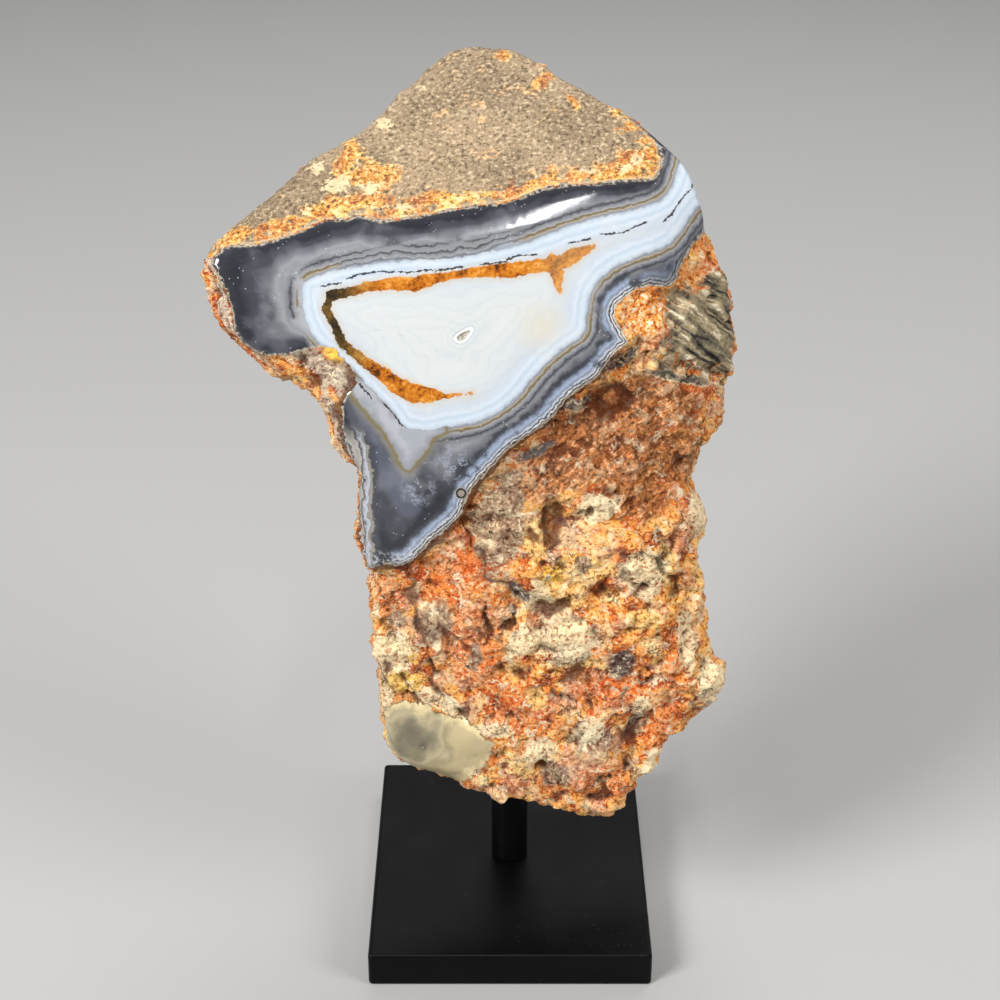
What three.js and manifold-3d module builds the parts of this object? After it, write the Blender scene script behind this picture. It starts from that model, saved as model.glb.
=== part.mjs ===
// An agate nodule with one polished face, held upright on a black post and base plate.
// Millimetres, +Z up. The origin is the centre of the base plate's underside. The stone's
// polished face looks toward -Y and a little up; +X is the viewer's right.

import * as THREE from 'three';
import { ConvexHull } from 'three/addons/math/ConvexHull.js';
import { ImprovedNoise } from 'three/addons/math/ImprovedNoise.js';
import { mergeVertices } from 'three/addons/utils/BufferGeometryUtils.js';
import Module from 'manifold-3d';

const wasm = await Module();
wasm.setup();
const { clamp, degToRad, lerp, smoothstep } = THREE.MathUtils;

// Stand: a rectangular plate and a quarter-inch rod.
const BASE_WIDTH = 48;
const BASE_DEPTH = 56;
const BASE_HEIGHT = 6.5;
const BASE_CHAMFER = 0.8;
const POST_DIAMETER = 6.35;
const POST_SIDES = 48;
const GAP = 0.3;

// The socket drilled up into the stone for the post.
const SOCKET_DIAMETER = POST_DIAMETER + 2 * GAP;
const POST_TOP = 52;
const SOCKET_TOP = POST_TOP + GAP;

// The stone is drawn in a facing frame: u to the right, v up, w toward a viewpoint above the
// front. Its origin is on the post's axis, and it leans back by this angle.
const STONE_ABOVE_BASE = 84;
const STONE_HEIGHT = BASE_HEIGHT + STONE_ABOVE_BASE;
const FACING_TILT = degToRad(27.4);
const LEAN_COS = Math.cos(FACING_TILT);
const LEAN_SIN = Math.sin(FACING_TILT);

// The stone's outline, [u, v], clockwise from its left corner.
const OUTLINE = [
  [-45.4, 24], [-44.4, 26.8], [-38.4, 32.2], [-34, 36.5], [-30, 41], [-27, 42.5], [-23.2, 44.8],
  [-20.3, 47.5], [-17.5, 51.5], [-15, 53.5], [-12.6, 56.3], [-9.8, 58.6], [-7, 59.8], [-0.3, 59.3],
  [3.2, 57.2], [7.1, 54], [12.3, 50.6], [16.7, 47.4], [19.9, 44.6], [22.7, 41.6], [25.5, 38.7],
  [27, 35.9], [28.1, 32.3], [28.9, 29.9], [30.7, 26.4], [32.5, 23], [34, 18.6], [34.9, 14.7],
  [34.6, 8.8], [33.3, 6.7], [33.2, 4.6], [33.3, 1], [30.6, -1.5], [29.1, -2.5], [30, -3.4],
  [29, -5], [27.6, -7.7], [29.5, -10.3], [30.1, -13], [30, -14.8], [28.6, -17], [29, -20.4],
  [30.8, -24.6], [31.4, -32.8], [33.5, -37], [33.8, -39.7], [32.9, -43.5], [30.9, -45],
  [28.8, -47.5], [26.9, -47.8], [24.9, -50.4], [23.9, -54], [22, -54.9], [20.6, -57.4],
  [18.6, -60.3], [16.2, -62.8], [10.7, -62.4], [5, -60.8], [-3.8, -58.6], [-12.4, -55.2],
  [-18.4, -53], [-19.8, -50.4], [-20.6, -42.6], [-21.2, -34.3], [-21.7, -26.3], [-21.9, -21.9],
  [-22.4, -18.8], [-22.8, -13], [-23.2, -7.8], [-22.4, -6.2], [-24.6, -4.4], [-27, -0.6],
  [-28.6, 3.7], [-31, 6], [-35.6, 8.7], [-39.2, 11.6], [-43.2, 13.8], [-44.6, 18.6], [-45, 21.3],
];

// The rim of the polished face. Where the polish runs over the stone's side the rim lies
// outside the outline.
const POLISHED_RIM = [
  [-44.3, 24.5], [-41.7, 26.6], [-36.3, 26.6], [-30.4, 28.7], [-27.3, 30.3], [-25, 30],
  [-21.4, 31.1], [-19.9, 29.7], [-14, 30.5], [-6.6, 31.9], [-0.1, 32.6], [5.8, 35.1],
  [12.9, 35.3], [18.3, 35.9], [20.9, 36], [22, 38.4], [21.6, 41.5], [19.9, 43.7], [16.7, 47.3],
  [20, 51], [35, 38], [29.5, 29.5], [27.4, 27.8], [25, 24], [23.8, 20.4], [20.1, 20.6],
  [18.2, 19.9], [16.4, 18.7], [15, 17.3], [15.3, 15.2], [16.5, 13.7], [17.4, 12.5], [16, 11.4],
  [14.2, 9.8], [13, 7.5], [10.7, 6], [8, 4], [5.7, 0.9], [2.8, -1.2], [0.1, -2.8], [-1.8, -4.7],
  [-3.3, -6.5], [-5.4, -8.4], [-6.8, -10.7], [-7.4, -13], [-9.5, -15], [-11.9, -16.8],
  [-13.4, -18.5], [-15.1, -20.3], [-17, -20.8], [-19.2, -20.5], [-21.5, -21.4], [-26, -20],
  [-26, -8], [-23.4, -6.4], [-24.8, -2.3], [-25.2, 2.5], [-24.7, 4.7], [-22.6, 6], [-23.4, 8.4],
  [-25.3, 10.8], [-26.8, 12], [-31.4, 10.8], [-34.7, 10.3], [-38.4, 11.1], [-40.7, 13.6],
  [-41.1, 16.4], [-41.6, 19.4], [-43, 22],
];

// The ground face: how far it reaches toward the viewpoint, its slope up the stone, the centre
// and radius of its dome, and its roll over the right shoulder.
const GROUND_REACH = 27.6;
const GROUND_SLOPE = 0.238;
const DOME_CENTRE = [-8, 10];
const DOME_RADIUS = 250;
const GROUND_ROLL = { from: 18, radius: 21 };

// The top face: its reach at the middle of the upper rim, its slopes and its roll to the right.
const TOP_REACH = 33.2;
const TOP_RIM_HEIGHT = 32.1;
const TOP_SLOPE_ACROSS = 0.14;
const TOP_SLOPE_UP = -0.664;
const TOP_ROLL = { from: 12, radius: 45 };
const BEVEL_RADIUS = 5;
const TOP_MARGIN = 1.5;
const TOP_CRUST = { drop: 0.35, over: 0.6 };
const TOP_GRAIN = { size: 6, height: 0.35, over: 3 };

// The broken face: how far it lies behind the polish, and its lower part, which slopes inward.
const RECESS = 1.2;
const LOWER_REACH = 18;
const LOWER_HEIGHT = -21;
const LOWER_SLOPE = 0.56;
const LOWER_BLEND = 4;
const BROKEN_ROLL = { from: 10, radius: 85 };
const BROKEN_EDGE = [0.1, 0.9];
const BROKEN_SETTLES = [0.4, 4];
const LEAST_RECESS = 0.3;

// The ledge that the right shoulder ends in: from its inner end to beyond the outline.
const LEDGE = [[15.5, 11], [18, 10.6], [22, 10.4], [26, 9.4], [30, 8.6], [38, 7.6]];
const LEDGE_DROP = 3.2;
const LEDGE_DROP_FADES = [-24, 4];
const LEDGE_HALF_STEP = 0.4;
const LEDGE_INNER_END = [13, 15];

// Crust nearly level with the polish: on the left wing, and in the notch at the right.
const CRUST_DROP = 0.5;
const CRUST_SLOPE = 0.3;
const CRUST_GRAIN = { size: 4, height: 0.45 };
const WING_ACROSS = [19, 22];
const WING_UP = [-3, 0];
const NOTCH = [19, 15.8];
const NOTCH_RADII = [3.5, 5.5];

// Chips and grain of the broken face: feature size and height.
const COARSE_CHIPS = { size: 7.5, height: 0.9 };
const FINE_CHIPS = { size: 3.9, height: 0.55, shift: 40 };
const BROKEN_GRAIN = { size: 5, height: 0.7 };

// Lumps and pits of the broken face: [u, v, radius, height], pits with a negative height.
const LUMPS = [
  [29, -13, 4.5, 2], [31.5, -39.5, 5.5, 2.4], [1.4, -33, 4, 1.4], [12.9, -48.5, 4.5, 1.4],
  [4, -21, 6, 1.3], [20, -18, 6, 1.5], [-14, -33, 4, 1.1], [22, -27, 5, 1.2], [-6, -49, 5, 1],
  [8, -7, 5, 1.4], [26, 0, 5, 1.6], [10, -56, 4, 1.2], [24, -48, 3.5, 1.4], [26, 17, 5, 1.6],
  [0.6, -26.4, 2.4, -2], [17.3, -37, 3.6, -1.6], [-2, -41, 3, -1.3], [14, -25, 4, -1.3],
  [27, -31, 3.5, -1.5], [5, -54, 3, -1.3], [20, -9, 4, -1.4], [-12, -26, 3, -1.1],
  [26, 26, 3, -1.2],
];

// Clefts of the broken face: two ends, half width and depth.
const CLEFTS = [
  { from: [21.5, -44], to: [17.5, -51], halfWidth: 1.3, depth: 2.2 },
  { from: [-10.5, -32], to: [-7, -43], halfWidth: 1, depth: 1 },
  { from: [6, -14], to: [11, -19], halfWidth: 1.2, depth: 1.3 },
  { from: [24, -6], to: [28, -9], halfWidth: 1.4, depth: 1.6 },
];

// The unseen sides: broken facets, each an outward normal in X, Y, Z and its distance from
// the stone's origin.
const FACETS = [
  { normal: [0.08, 0.98, 0.12], reach: 25 },
  { normal: [-0.72, 0.68, -0.1], reach: 33 },
  { normal: [0.74, 0.66, -0.12], reach: 32 },
  { normal: [-0.15, 0.84, -0.52], reach: 29 },
  { normal: [0.12, 0.74, 0.66], reach: 51.5 },
  { normal: [-0.5, 0.5, 0.7], reach: 54 },
  { normal: [0.62, -0.3, -0.72], reach: 60 },
];
const UNDERSIDE_HEIGHT = -55.5;
const UNDERSIDE_SLOPE = -0.33;

// The sides: rounding at the front edge, how they draw in behind it, and their grain.
const EDGE_RADIUS = 1.6;
const DRAW_IN_FROM = 6;
const DRAW_IN_SLOPE = 0.1;
const SIDE_GRAIN = { size: 11, height: 1.5, depths: [1, 7] };
const BACK_GRAIN = { size: 13, height: 1.8 };
const BACK_CHIPS = { size: 9, height: 0.8 };

// Sampling of the stone: spacing of its points in front, at the side and behind.
const SPACING_FRONT = 1.72;
const SPACING_SIDE = 2.2;
const SPACING_BACK = 2.9;
const SPACING_RIM = 0.55;
const FRONT_DEPTH = 2;
const BACK_DEPTHS = [12, 34];
const CANDIDATES = 42000;
const RIM_STEP = 1.5;
const RIM_INSIDE = 0.3;
const RIM_OUTSIDE = 0.6;
const RIM_MARGIN = 0.5;
const CENTRE = new THREE.Vector3(-3, 2, 2);
const LONGEST_RAY = 90;
const RAY_STEP = 1.2;
const HALVINGS = 16;
const MERGE_DISTANCE = 1e-4;
const LAYER_SCALE = 2.1;
const LAYER_WEIGHT = 0.5;
const NOISE_GAIN = 1.4;
const SCATTER = [127.1, 311.7, 74.7];
const SCATTER_SIZE = 43758.5453;

const noise = new ImprovedNoise();

/** Layered noise of about -1 to 1, with features of the given size at a point. */
function roughness(x, y, z, size, layers) {
  let sum = 0;
  let weight = 1;
  let total = 0;
  let scale = 1 / size;
  for (let layer = 0; layer < layers; layer += 1) {
    sum += weight * noise.noise(x * scale + 7.3 * layer, y * scale + 3.1, z * scale - 5.7);
    total += weight;
    weight *= LAYER_WEIGHT;
    scale *= LAYER_SCALE;
  }
  return (NOISE_GAIN * sum) / total;
}

/** A repeatable number from 0 to 1 for a cell of the plane. */
function cellValue(i, j, channel) {
  const value = Math.sin(i * SCATTER[0] + j * SCATTER[1] + channel * SCATTER[2]) * SCATTER_SIZE;
  return value - Math.floor(value);
}

/** Broken chips: each cell of the plane is a tilted flat, about -1 to 1 high. */
function chips(u, v, size) {
  const column = Math.floor(u / size);
  const row = Math.floor(v / size);
  let nearest = Infinity;
  let height = 0;
  for (let i = column - 1; i <= column + 1; i += 1) {
    for (let j = row - 1; j <= row + 1; j += 1) {
      const du = u / size - i - cellValue(i, j, 0);
      const dv = v / size - j - cellValue(i, j, 1);
      const distance = du * du + dv * dv;
      if (distance < nearest) {
        nearest = distance;
        const tiltU = cellValue(i, j, 2) - 0.5;
        const tiltV = cellValue(i, j, 3) - 0.5;
        height = 1.2 * (cellValue(i, j, 4) - 0.5) + 1.6 * (tiltU * du + tiltV * dv);
      }
    }
  }
  return height;
}

/** Distance from a point to the stretch between two ends. */
function distanceToStretch(u, v, from, to) {
  const alongU = to[0] - from[0];
  const alongV = to[1] - from[1];
  const share = ((u - from[0]) * alongU + (v - from[1]) * alongV) / (alongU * alongU + alongV * alongV);
  const t = clamp(share, 0, 1);
  return Math.hypot(u - from[0] - t * alongU, v - from[1] - t * alongV);
}

/** Distance to a closed outline, positive inside it. */
function insideDistance(outline, u, v) {
  let nearest = Infinity;
  let inside = false;
  for (let i = 0, j = outline.length - 1; i < outline.length; j = i, i += 1) {
    const a = outline[i];
    const b = outline[j];
    nearest = Math.min(nearest, distanceToStretch(u, v, a, b));
    const crosses = (a[1] > v) !== (b[1] > v);
    if (crosses && u < ((b[0] - a[0]) * (v - a[1])) / (b[1] - a[1]) + a[0]) inside = !inside;
  }
  return inside ? nearest : -nearest;
}

/** Height of an open line at a given u, straight between its points. */
function lineHeight(line, u) {
  for (let i = 1; i < line.length; i += 1) {
    const [fromU, fromV] = line[i - 1];
    const [toU, toV] = line[i];
    if (u <= toU) return fromV + ((toV - fromV) * (u - fromU)) / (toU - fromU);
  }
  return line[line.length - 1][1];
}

/** The smaller of two values, rounded over where they are nearly equal. */
function softMin(a, b, radius) {
  const h = Math.max(radius - Math.abs(a - b), 0) / radius;
  return Math.min(a, b) - (h * h * radius) / 4;
}

/** How far a face falls away past the line where its roll begins. */
function rolled(u, roll) {
  return Math.max(0, u - roll.from) ** 2 / (2 * roll.radius);
}

/** The ground face: a shallow dome that rolls over at the right shoulder. */
function groundFace(u, v) {
  const dome = ((u - DOME_CENTRE[0]) ** 2 + (v - DOME_CENTRE[1]) ** 2) / (2 * DOME_RADIUS);
  return GROUND_REACH + GROUND_SLOPE * v - dome - rolled(u, GROUND_ROLL);
}

/** The top face, which slopes up and back from the upper rim. */
function topFace(u, v) {
  const rise = TOP_SLOPE_ACROSS * u + TOP_SLOPE_UP * (v - TOP_RIM_HEIGHT);
  return TOP_REACH + rise - rolled(u, TOP_ROLL);
}

/** The broken face below and right of the polish, before its lumps. */
function brokenFace(u, v) {
  const above = smoothstep(v - lineHeight(LEDGE, u), -LEDGE_HALF_STEP, LEDGE_HALF_STEP);
  const onShoulder = above * smoothstep(u, ...LEDGE_INNER_END);
  const recess = RECESS + (1 - onShoulder) * LEDGE_DROP * smoothstep(v, ...LEDGE_DROP_FADES);
  const lower = LOWER_REACH + LOWER_SLOPE * (v - LOWER_HEIGHT);
  return softMin(groundFace(u, v) - recess, lower, LOWER_BLEND) - rolled(u, BROKEN_ROLL);
}

/** The crumbly crust beside the polish, nearly level with it and falling away from its rim. */
function crustFace(u, v, away) {
  const grain = CRUST_GRAIN.height * roughness(u, v, 6, CRUST_GRAIN.size, 3);
  return groundFace(u, v) - CRUST_DROP - CRUST_SLOPE * away + grain;
}

/** 1 where crust borders the polish: on the left wing and in the right shoulder's notch. */
function crustShare(u, v) {
  const onWing = smoothstep(-u, ...WING_ACROSS) * smoothstep(v, ...WING_UP);
  const fromNotch = Math.hypot(u - NOTCH[0], v - NOTCH[1]);
  return Math.max(onWing, 1 - smoothstep(fromNotch, ...NOTCH_RADII));
}

/** Lumps, pits, clefts, chips and grain of the broken face. */
function brokenRelief(u, v) {
  let relief = COARSE_CHIPS.height * chips(u, v, COARSE_CHIPS.size);
  relief += FINE_CHIPS.height * chips(u + FINE_CHIPS.shift, v, FINE_CHIPS.size);
  relief += BROKEN_GRAIN.height * roughness(u, v, 4, BROKEN_GRAIN.size, 3);
  for (const [lumpU, lumpV, radius, height] of LUMPS) {
    const away = Math.hypot(u - lumpU, v - lumpV) / radius;
    if (away < 1) relief += height * (1 - away * away) ** 1.5;
  }
  for (const { from, to, halfWidth, depth } of CLEFTS) {
    const away = distanceToStretch(u, v, from, to) / halfWidth;
    if (away < 1) relief -= depth * (1 - away * away);
  }
  return relief;
}

/** How far the front of the stone reaches toward the viewpoint. */
function front(u, v) {
  const polish = insideDistance(POLISHED_RIM, u, v);
  const shaped = softMin(groundFace(u, v), topFace(u, v), BEVEL_RADIUS);
  if (polish > 0) return shaped;
  if (topFace(u, v) < groundFace(u, v) + TOP_MARGIN) {
    const crust = TOP_CRUST.drop * smoothstep(-polish, 0, TOP_CRUST.over);
    const grain = TOP_GRAIN.height * roughness(u, v, 2, TOP_GRAIN.size, 3);
    return shaped - crust + grain * smoothstep(-polish, 0, TOP_GRAIN.over);
  }
  const away = smoothstep(-polish, ...BROKEN_EDGE);
  const settled = smoothstep(-polish, ...BROKEN_SETTLES);
  const broken = brokenFace(u, v) + settled * brokenRelief(u, v);
  const outer = lerp(broken, crustFace(u, v, -polish), crustShare(u, v));
  return shaped + away * (Math.min(outer, shaped - LEAST_RECESS) - shaped);
}

/** How far the sides draw in from the outline at a depth below the front. */
function drawIn(depth) {
  const rounding = depth < EDGE_RADIUS ? EDGE_RADIUS - Math.sqrt(depth * (2 * EDGE_RADIUS - depth)) : 0;
  return rounding + DRAW_IN_SLOPE * Math.max(0, depth - DRAW_IN_FROM);
}

/** Positive inside the stone, for a point of the facing frame. */
function insideStone(point) {
  const depth = front(point.x, point.y) - point.z;
  if (depth < 0) return depth;
  const outline = insideDistance(OUTLINE, point.x, point.y);
  const sideGrain = SIDE_GRAIN.height * roughness(point.x, point.y, point.z, SIDE_GRAIN.size, 3);
  const side = outline - drawIn(depth) + sideGrain * smoothstep(depth, ...SIDE_GRAIN.depths);
  const y = point.y * LEAN_SIN - point.z * LEAN_COS;
  const height = point.y * LEAN_COS + point.z * LEAN_SIN;
  const underside = height - UNDERSIDE_HEIGHT - UNDERSIDE_SLOPE * point.x;
  let behind = Infinity;
  for (const { normal, reach } of FACETS) {
    behind = Math.min(behind, reach - normal[0] * point.x - normal[1] * y - normal[2] * height);
  }
  behind += BACK_GRAIN.height * roughness(point.x, y, height, BACK_GRAIN.size, 4);
  behind += BACK_CHIPS.height * chips(point.x + y, height, BACK_CHIPS.size);
  return Math.min(depth, side, underside, behind);
}

/** The stone's surface along a direction from its centre. */
function surfaceAlong(direction) {
  const point = new THREE.Vector3();
  let inner = 0;
  let outer = RAY_STEP;
  while (outer < LONGEST_RAY) {
    if (insideStone(point.copy(CENTRE).addScaledVector(direction, outer)) < 0) break;
    inner = outer;
    outer += RAY_STEP;
  }
  for (let i = 0; i < HALVINGS; i += 1) {
    const middle = (inner + outer) / 2;
    if (insideStone(point.copy(CENTRE).addScaledVector(direction, middle)) < 0) outer = middle;
    else inner = middle;
  }
  return point.copy(CENTRE).addScaledVector(direction, inner);
}

/** Directions toward pairs of points just inside and just outside a line on the front. */
function lineDirections(line, closed) {
  const directions = [];
  const last = closed ? line.length : line.length - 1;
  for (let i = 0; i < last; i += 1) {
    const from = line[i];
    const to = line[(i + 1) % line.length];
    const length = Math.hypot(to[0] - from[0], to[1] - from[1]);
    const steps = Math.max(1, Math.round(length / RIM_STEP));
    for (let step = 0; step < steps; step += 1) {
      const t = step / steps;
      const acrossU = (to[1] - from[1]) / length;
      const acrossV = -(to[0] - from[0]) / length;
      for (const offset of [RIM_INSIDE, -RIM_OUTSIDE]) {
        const u = from[0] + t * (to[0] - from[0]) + offset * acrossU;
        const v = from[1] + t * (to[1] - from[1]) + offset * acrossV;
        if (insideDistance(OUTLINE, u, v) < RIM_MARGIN) continue;
        directions.push(new THREE.Vector3(u, v, front(u, v)).sub(CENTRE).normalize());
      }
    }
  }
  return directions;
}

/** Directions spread evenly over a sphere. */
function evenDirections(count) {
  const directions = [];
  const turn = Math.PI * (3 - Math.sqrt(5));
  for (let i = 0; i < count; i += 1) {
    const z = 1 - (2 * i + 1) / count;
    const radius = Math.sqrt(1 - z * z);
    directions.push(new THREE.Vector3(radius * Math.cos(i * turn), radius * Math.sin(i * turn), z));
  }
  return directions;
}

/** Spacing wanted round a surface point: fine in front, coarse behind. */
function spacingAt(point) {
  const depth = front(point.x, point.y) - point.z;
  if (depth < FRONT_DEPTH) return SPACING_FRONT;
  return lerp(SPACING_SIDE, SPACING_BACK, smoothstep(depth, ...BACK_DEPTHS));
}

/** Surface points, none nearer to another than the spacing there. */
function spreadPoints() {
  const kept = [];
  const cells = new Map();
  const cell = SPACING_BACK;
  const keep = (direction, spacing) => {
    const point = surfaceAlong(direction);
    const wanted = spacing ?? spacingAt(point);
    const home = [point.x, point.y, point.z].map((value) => Math.floor(value / cell));
    for (let i = -1; i <= 1; i += 1) {
      for (let j = -1; j <= 1; j += 1) {
        for (let k = -1; k <= 1; k += 1) {
          const near = cells.get(`${home[0] + i},${home[1] + j},${home[2] + k}`) ?? [];
          if (near.some((other) => other.distanceTo(point) < wanted)) return;
        }
      }
    }
    const key = home.join(',');
    if (!cells.has(key)) cells.set(key, []);
    cells.get(key).push(point);
    kept.push({ direction, point });
  };
  const edges = [...lineDirections(POLISHED_RIM, true), ...lineDirections(LEDGE, false)];
  for (const direction of edges) keep(direction, SPACING_RIM);
  for (const direction of evenDirections(CANDIDATES)) keep(direction);
  return kept;
}

/** A closed body whose triangles join neighbouring directions. */
function hullGeometry(kept) {
  const lookup = new Map();
  const rays = kept.map(({ direction, point }) => {
    const ray = direction.clone();
    lookup.set(ray, point);
    return ray;
  });
  const positions = [];
  for (const face of new ConvexHull().setFromPoints(rays).faces) {
    let edge = face.edge;
    do {
      positions.push(...lookup.get(edge.head().point).toArray());
      edge = edge.next;
    } while (edge !== face.edge);
  }
  const geometry = new THREE.BufferGeometry();
  geometry.setAttribute('position', new THREE.Float32BufferAttribute(positions, 3));
  return mergeVertices(geometry, MERGE_DISTANCE);
}

/** From the facing frame to the part's own frame. */
function standUp(geometry) {
  const across = new THREE.Vector3(1, 0, 0);
  const up = new THREE.Vector3(0, LEAN_SIN, LEAN_COS);
  const toward = new THREE.Vector3(0, -LEAN_COS, LEAN_SIN);
  const lean = new THREE.Matrix4().makeBasis(across, up, toward);
  lean.setPosition(0, 0, STONE_HEIGHT);
  return geometry.applyMatrix4(lean);
}

/** A closed geometry as a solid for joins and cuts. */
function solidOf(geometry) {
  const bare = new THREE.BufferGeometry();
  bare.setAttribute('position', geometry.getAttribute('position').clone());
  if (geometry.index) bare.setIndex(geometry.index.clone());
  const merged = mergeVertices(bare, MERGE_DISTANCE);
  return new wasm.Manifold(new wasm.Mesh({
    numProp: 3,
    vertProperties: new Float32Array(merged.getAttribute('position').array),
    triVerts: new Uint32Array(merged.index.array),
  }));
}

/** The geometry of a solid. */
function geometryOf(solid) {
  const mesh = solid.getMesh();
  const geometry = new THREE.BufferGeometry();
  geometry.setAttribute('position', new THREE.Float32BufferAttribute(mesh.vertProperties, 3));
  geometry.setIndex(new THREE.Uint32BufferAttribute(mesh.triVerts, 1));
  return geometry;
}

/** An upright cylinder between two heights. */
function uprightCylinder(diameter, bottom, top) {
  const geometry = new THREE.CylinderGeometry(diameter / 2, diameter / 2, top - bottom, POST_SIDES);
  return geometry.rotateX(Math.PI / 2).translate(0, 0, (top + bottom) / 2);
}

/** The agate itself, one piece, with the socket for the post. */
function stone() {
  const body = solidOf(standUp(hullGeometry(spreadPoints())));
  const socket = solidOf(uprightCylinder(SOCKET_DIAMETER, BASE_HEIGHT + 1, SOCKET_TOP));
  const material = new THREE.MeshStandardMaterial({ color: 0x9a7256, roughness: 0.75, metalness: 0 });
  const mesh = new THREE.Mesh(geometryOf(body.subtract(socket)), material);
  mesh.name = 'agate';
  return mesh;
}

/** The rod that carries the stone. */
function post() {
  const material = new THREE.MeshStandardMaterial({ color: 0x0c0c0d, roughness: 0.4, metalness: 0.2 });
  const mesh = new THREE.Mesh(uprightCylinder(POST_DIAMETER, BASE_HEIGHT + GAP, POST_TOP), material);
  mesh.name = 'post';
  return mesh;
}

/** The plate that the rod stands on, its edges eased. */
function basePlate() {
  const shape = new THREE.Shape();
  const halfWidth = BASE_WIDTH / 2 - BASE_CHAMFER;
  const halfDepth = BASE_DEPTH / 2 - BASE_CHAMFER;
  shape.moveTo(-halfWidth, -halfDepth);
  shape.lineTo(halfWidth, -halfDepth);
  shape.lineTo(halfWidth, halfDepth);
  shape.lineTo(-halfWidth, halfDepth);
  const geometry = new THREE.ExtrudeGeometry(shape, {
    depth: BASE_HEIGHT - 2 * BASE_CHAMFER,
    bevelThickness: BASE_CHAMFER,
    bevelSize: BASE_CHAMFER,
    bevelSegments: 1,
  });
  geometry.translate(0, 0, BASE_CHAMFER);
  const material = new THREE.MeshStandardMaterial({ color: 0x0c0c0d, roughness: 0.45, metalness: 0.2 });
  const mesh = new THREE.Mesh(geometry, material);
  mesh.name = 'base_plate';
  return mesh;
}

const agateOnStand = new THREE.Group();
agateOnStand.add(stone(), post(), basePlate());

export default agateOnStand;
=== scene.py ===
"""Looks of a polished agate on a black post stand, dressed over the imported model. Blender 4.5, metres."""

import math

import bmesh
import bpy
import numpy as np
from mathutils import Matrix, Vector, noise


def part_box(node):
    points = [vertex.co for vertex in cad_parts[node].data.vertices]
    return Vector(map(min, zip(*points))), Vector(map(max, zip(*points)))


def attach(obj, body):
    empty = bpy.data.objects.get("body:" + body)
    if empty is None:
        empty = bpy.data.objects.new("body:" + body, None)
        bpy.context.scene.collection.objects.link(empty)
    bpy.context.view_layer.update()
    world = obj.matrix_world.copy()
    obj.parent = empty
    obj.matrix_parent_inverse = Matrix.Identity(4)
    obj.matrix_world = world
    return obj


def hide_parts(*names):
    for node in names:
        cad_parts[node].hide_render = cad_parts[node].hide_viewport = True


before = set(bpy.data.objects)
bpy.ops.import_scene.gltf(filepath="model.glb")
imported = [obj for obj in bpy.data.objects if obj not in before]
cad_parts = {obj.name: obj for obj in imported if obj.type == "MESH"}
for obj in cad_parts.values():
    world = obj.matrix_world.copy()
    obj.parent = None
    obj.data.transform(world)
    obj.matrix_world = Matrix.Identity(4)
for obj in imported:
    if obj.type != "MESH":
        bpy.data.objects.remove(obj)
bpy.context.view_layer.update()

MM = 0.001

# The stand's dimensions, read from the frame.
BASE_LOW, BASE_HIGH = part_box("base_plate")
POST_LOW, POST_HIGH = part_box("post")
BASE_TOP = BASE_HIGH[2]

# The stone's facing frame, in millimetres: u to the right, v up, w toward the viewpoint.
FACING_TILT = math.radians(27.4)
LEAN_COS = math.cos(FACING_TILT)
LEAN_SIN = math.sin(FACING_TILT)
STONE_HEIGHT = BASE_TOP / MM + 84

# Camera: where it stands from the post and above the base plate's top, and its lens.
CAMERA_ACROSS = -1.7
CAMERA_AWAY = 291.6
CAMERA_ABOVE_BASE = 223
LENS = 72
SENSOR = 36

# Lights, in metres: name, place, width and height, watts, and whether the polish mirrors them.
LIGHT_TARGET = (0, 0, 0.09)
LIGHTS = [
    ("key_left", (-0.6, -0.52, 0.6), (0.32, 0.32), 13.0, True),
    ("key_right", (0.74, -0.42, 0.5), (0.4, 0.4), 7.0, False),
    ("top_back", (0.1, 0.45, 0.85), (0.6, 0.4), 5.0, True),
    ("glare", (-0.02, -0.57, 0.93), (0.045, 0.3), 2.6, True),
]
SKY_COLOUR = (0.94, 0.96, 1.0, 1.0)
SKY_STRENGTH = 0.28
FLOOR_SIZE = 4

# Outlines on the polished face, (u, v) in millimetres.
POLISHED_RIM = [
    (-44.3, 24.5), (-41.7, 26.6), (-36.3, 26.6), (-30.4, 28.7), (-27.3, 30.3), (-25, 30),
    (-21.4, 31.1), (-19.9, 29.7), (-14, 30.5), (-6.6, 31.9), (-0.1, 32.6), (5.8, 35.1),
    (12.9, 35.3), (18.3, 35.9), (20.9, 36), (22, 38.4), (21.6, 41.5), (19.9, 43.7), (16.7, 47.3),
    (20, 51), (35, 38), (29.5, 29.5), (27.4, 27.8), (25, 24), (23.8, 20.4), (20.1, 20.6),
    (18.2, 19.9), (16.4, 18.7), (15, 17.3), (15.3, 15.2), (16.5, 13.7), (17.4, 12.5), (16, 11.4),
    (14.2, 9.8), (13, 7.5), (10.7, 6), (8, 4), (5.7, 0.9), (2.8, -1.2), (0.1, -2.8), (-1.8, -4.7),
    (-3.3, -6.5), (-5.4, -8.4), (-6.8, -10.7), (-7.4, -13), (-9.5, -15), (-11.9, -16.8),
    (-13.4, -18.5), (-15.1, -20.3), (-17, -20.8), (-19.2, -20.5), (-21.5, -21.4), (-26, -20),
    (-26, -8), (-23.4, -6.4), (-24.8, -2.3), (-25.2, 2.5), (-24.7, 4.7), (-22.6, 6), (-23.4, 8.4),
    (-25.3, 10.8), (-26.8, 12), (-31.4, 10.8), (-34.7, 10.3), (-38.4, 11.1), (-40.7, 13.6),
    (-41.1, 16.4), (-41.6, 19.4), (-43, 22),
]
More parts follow.
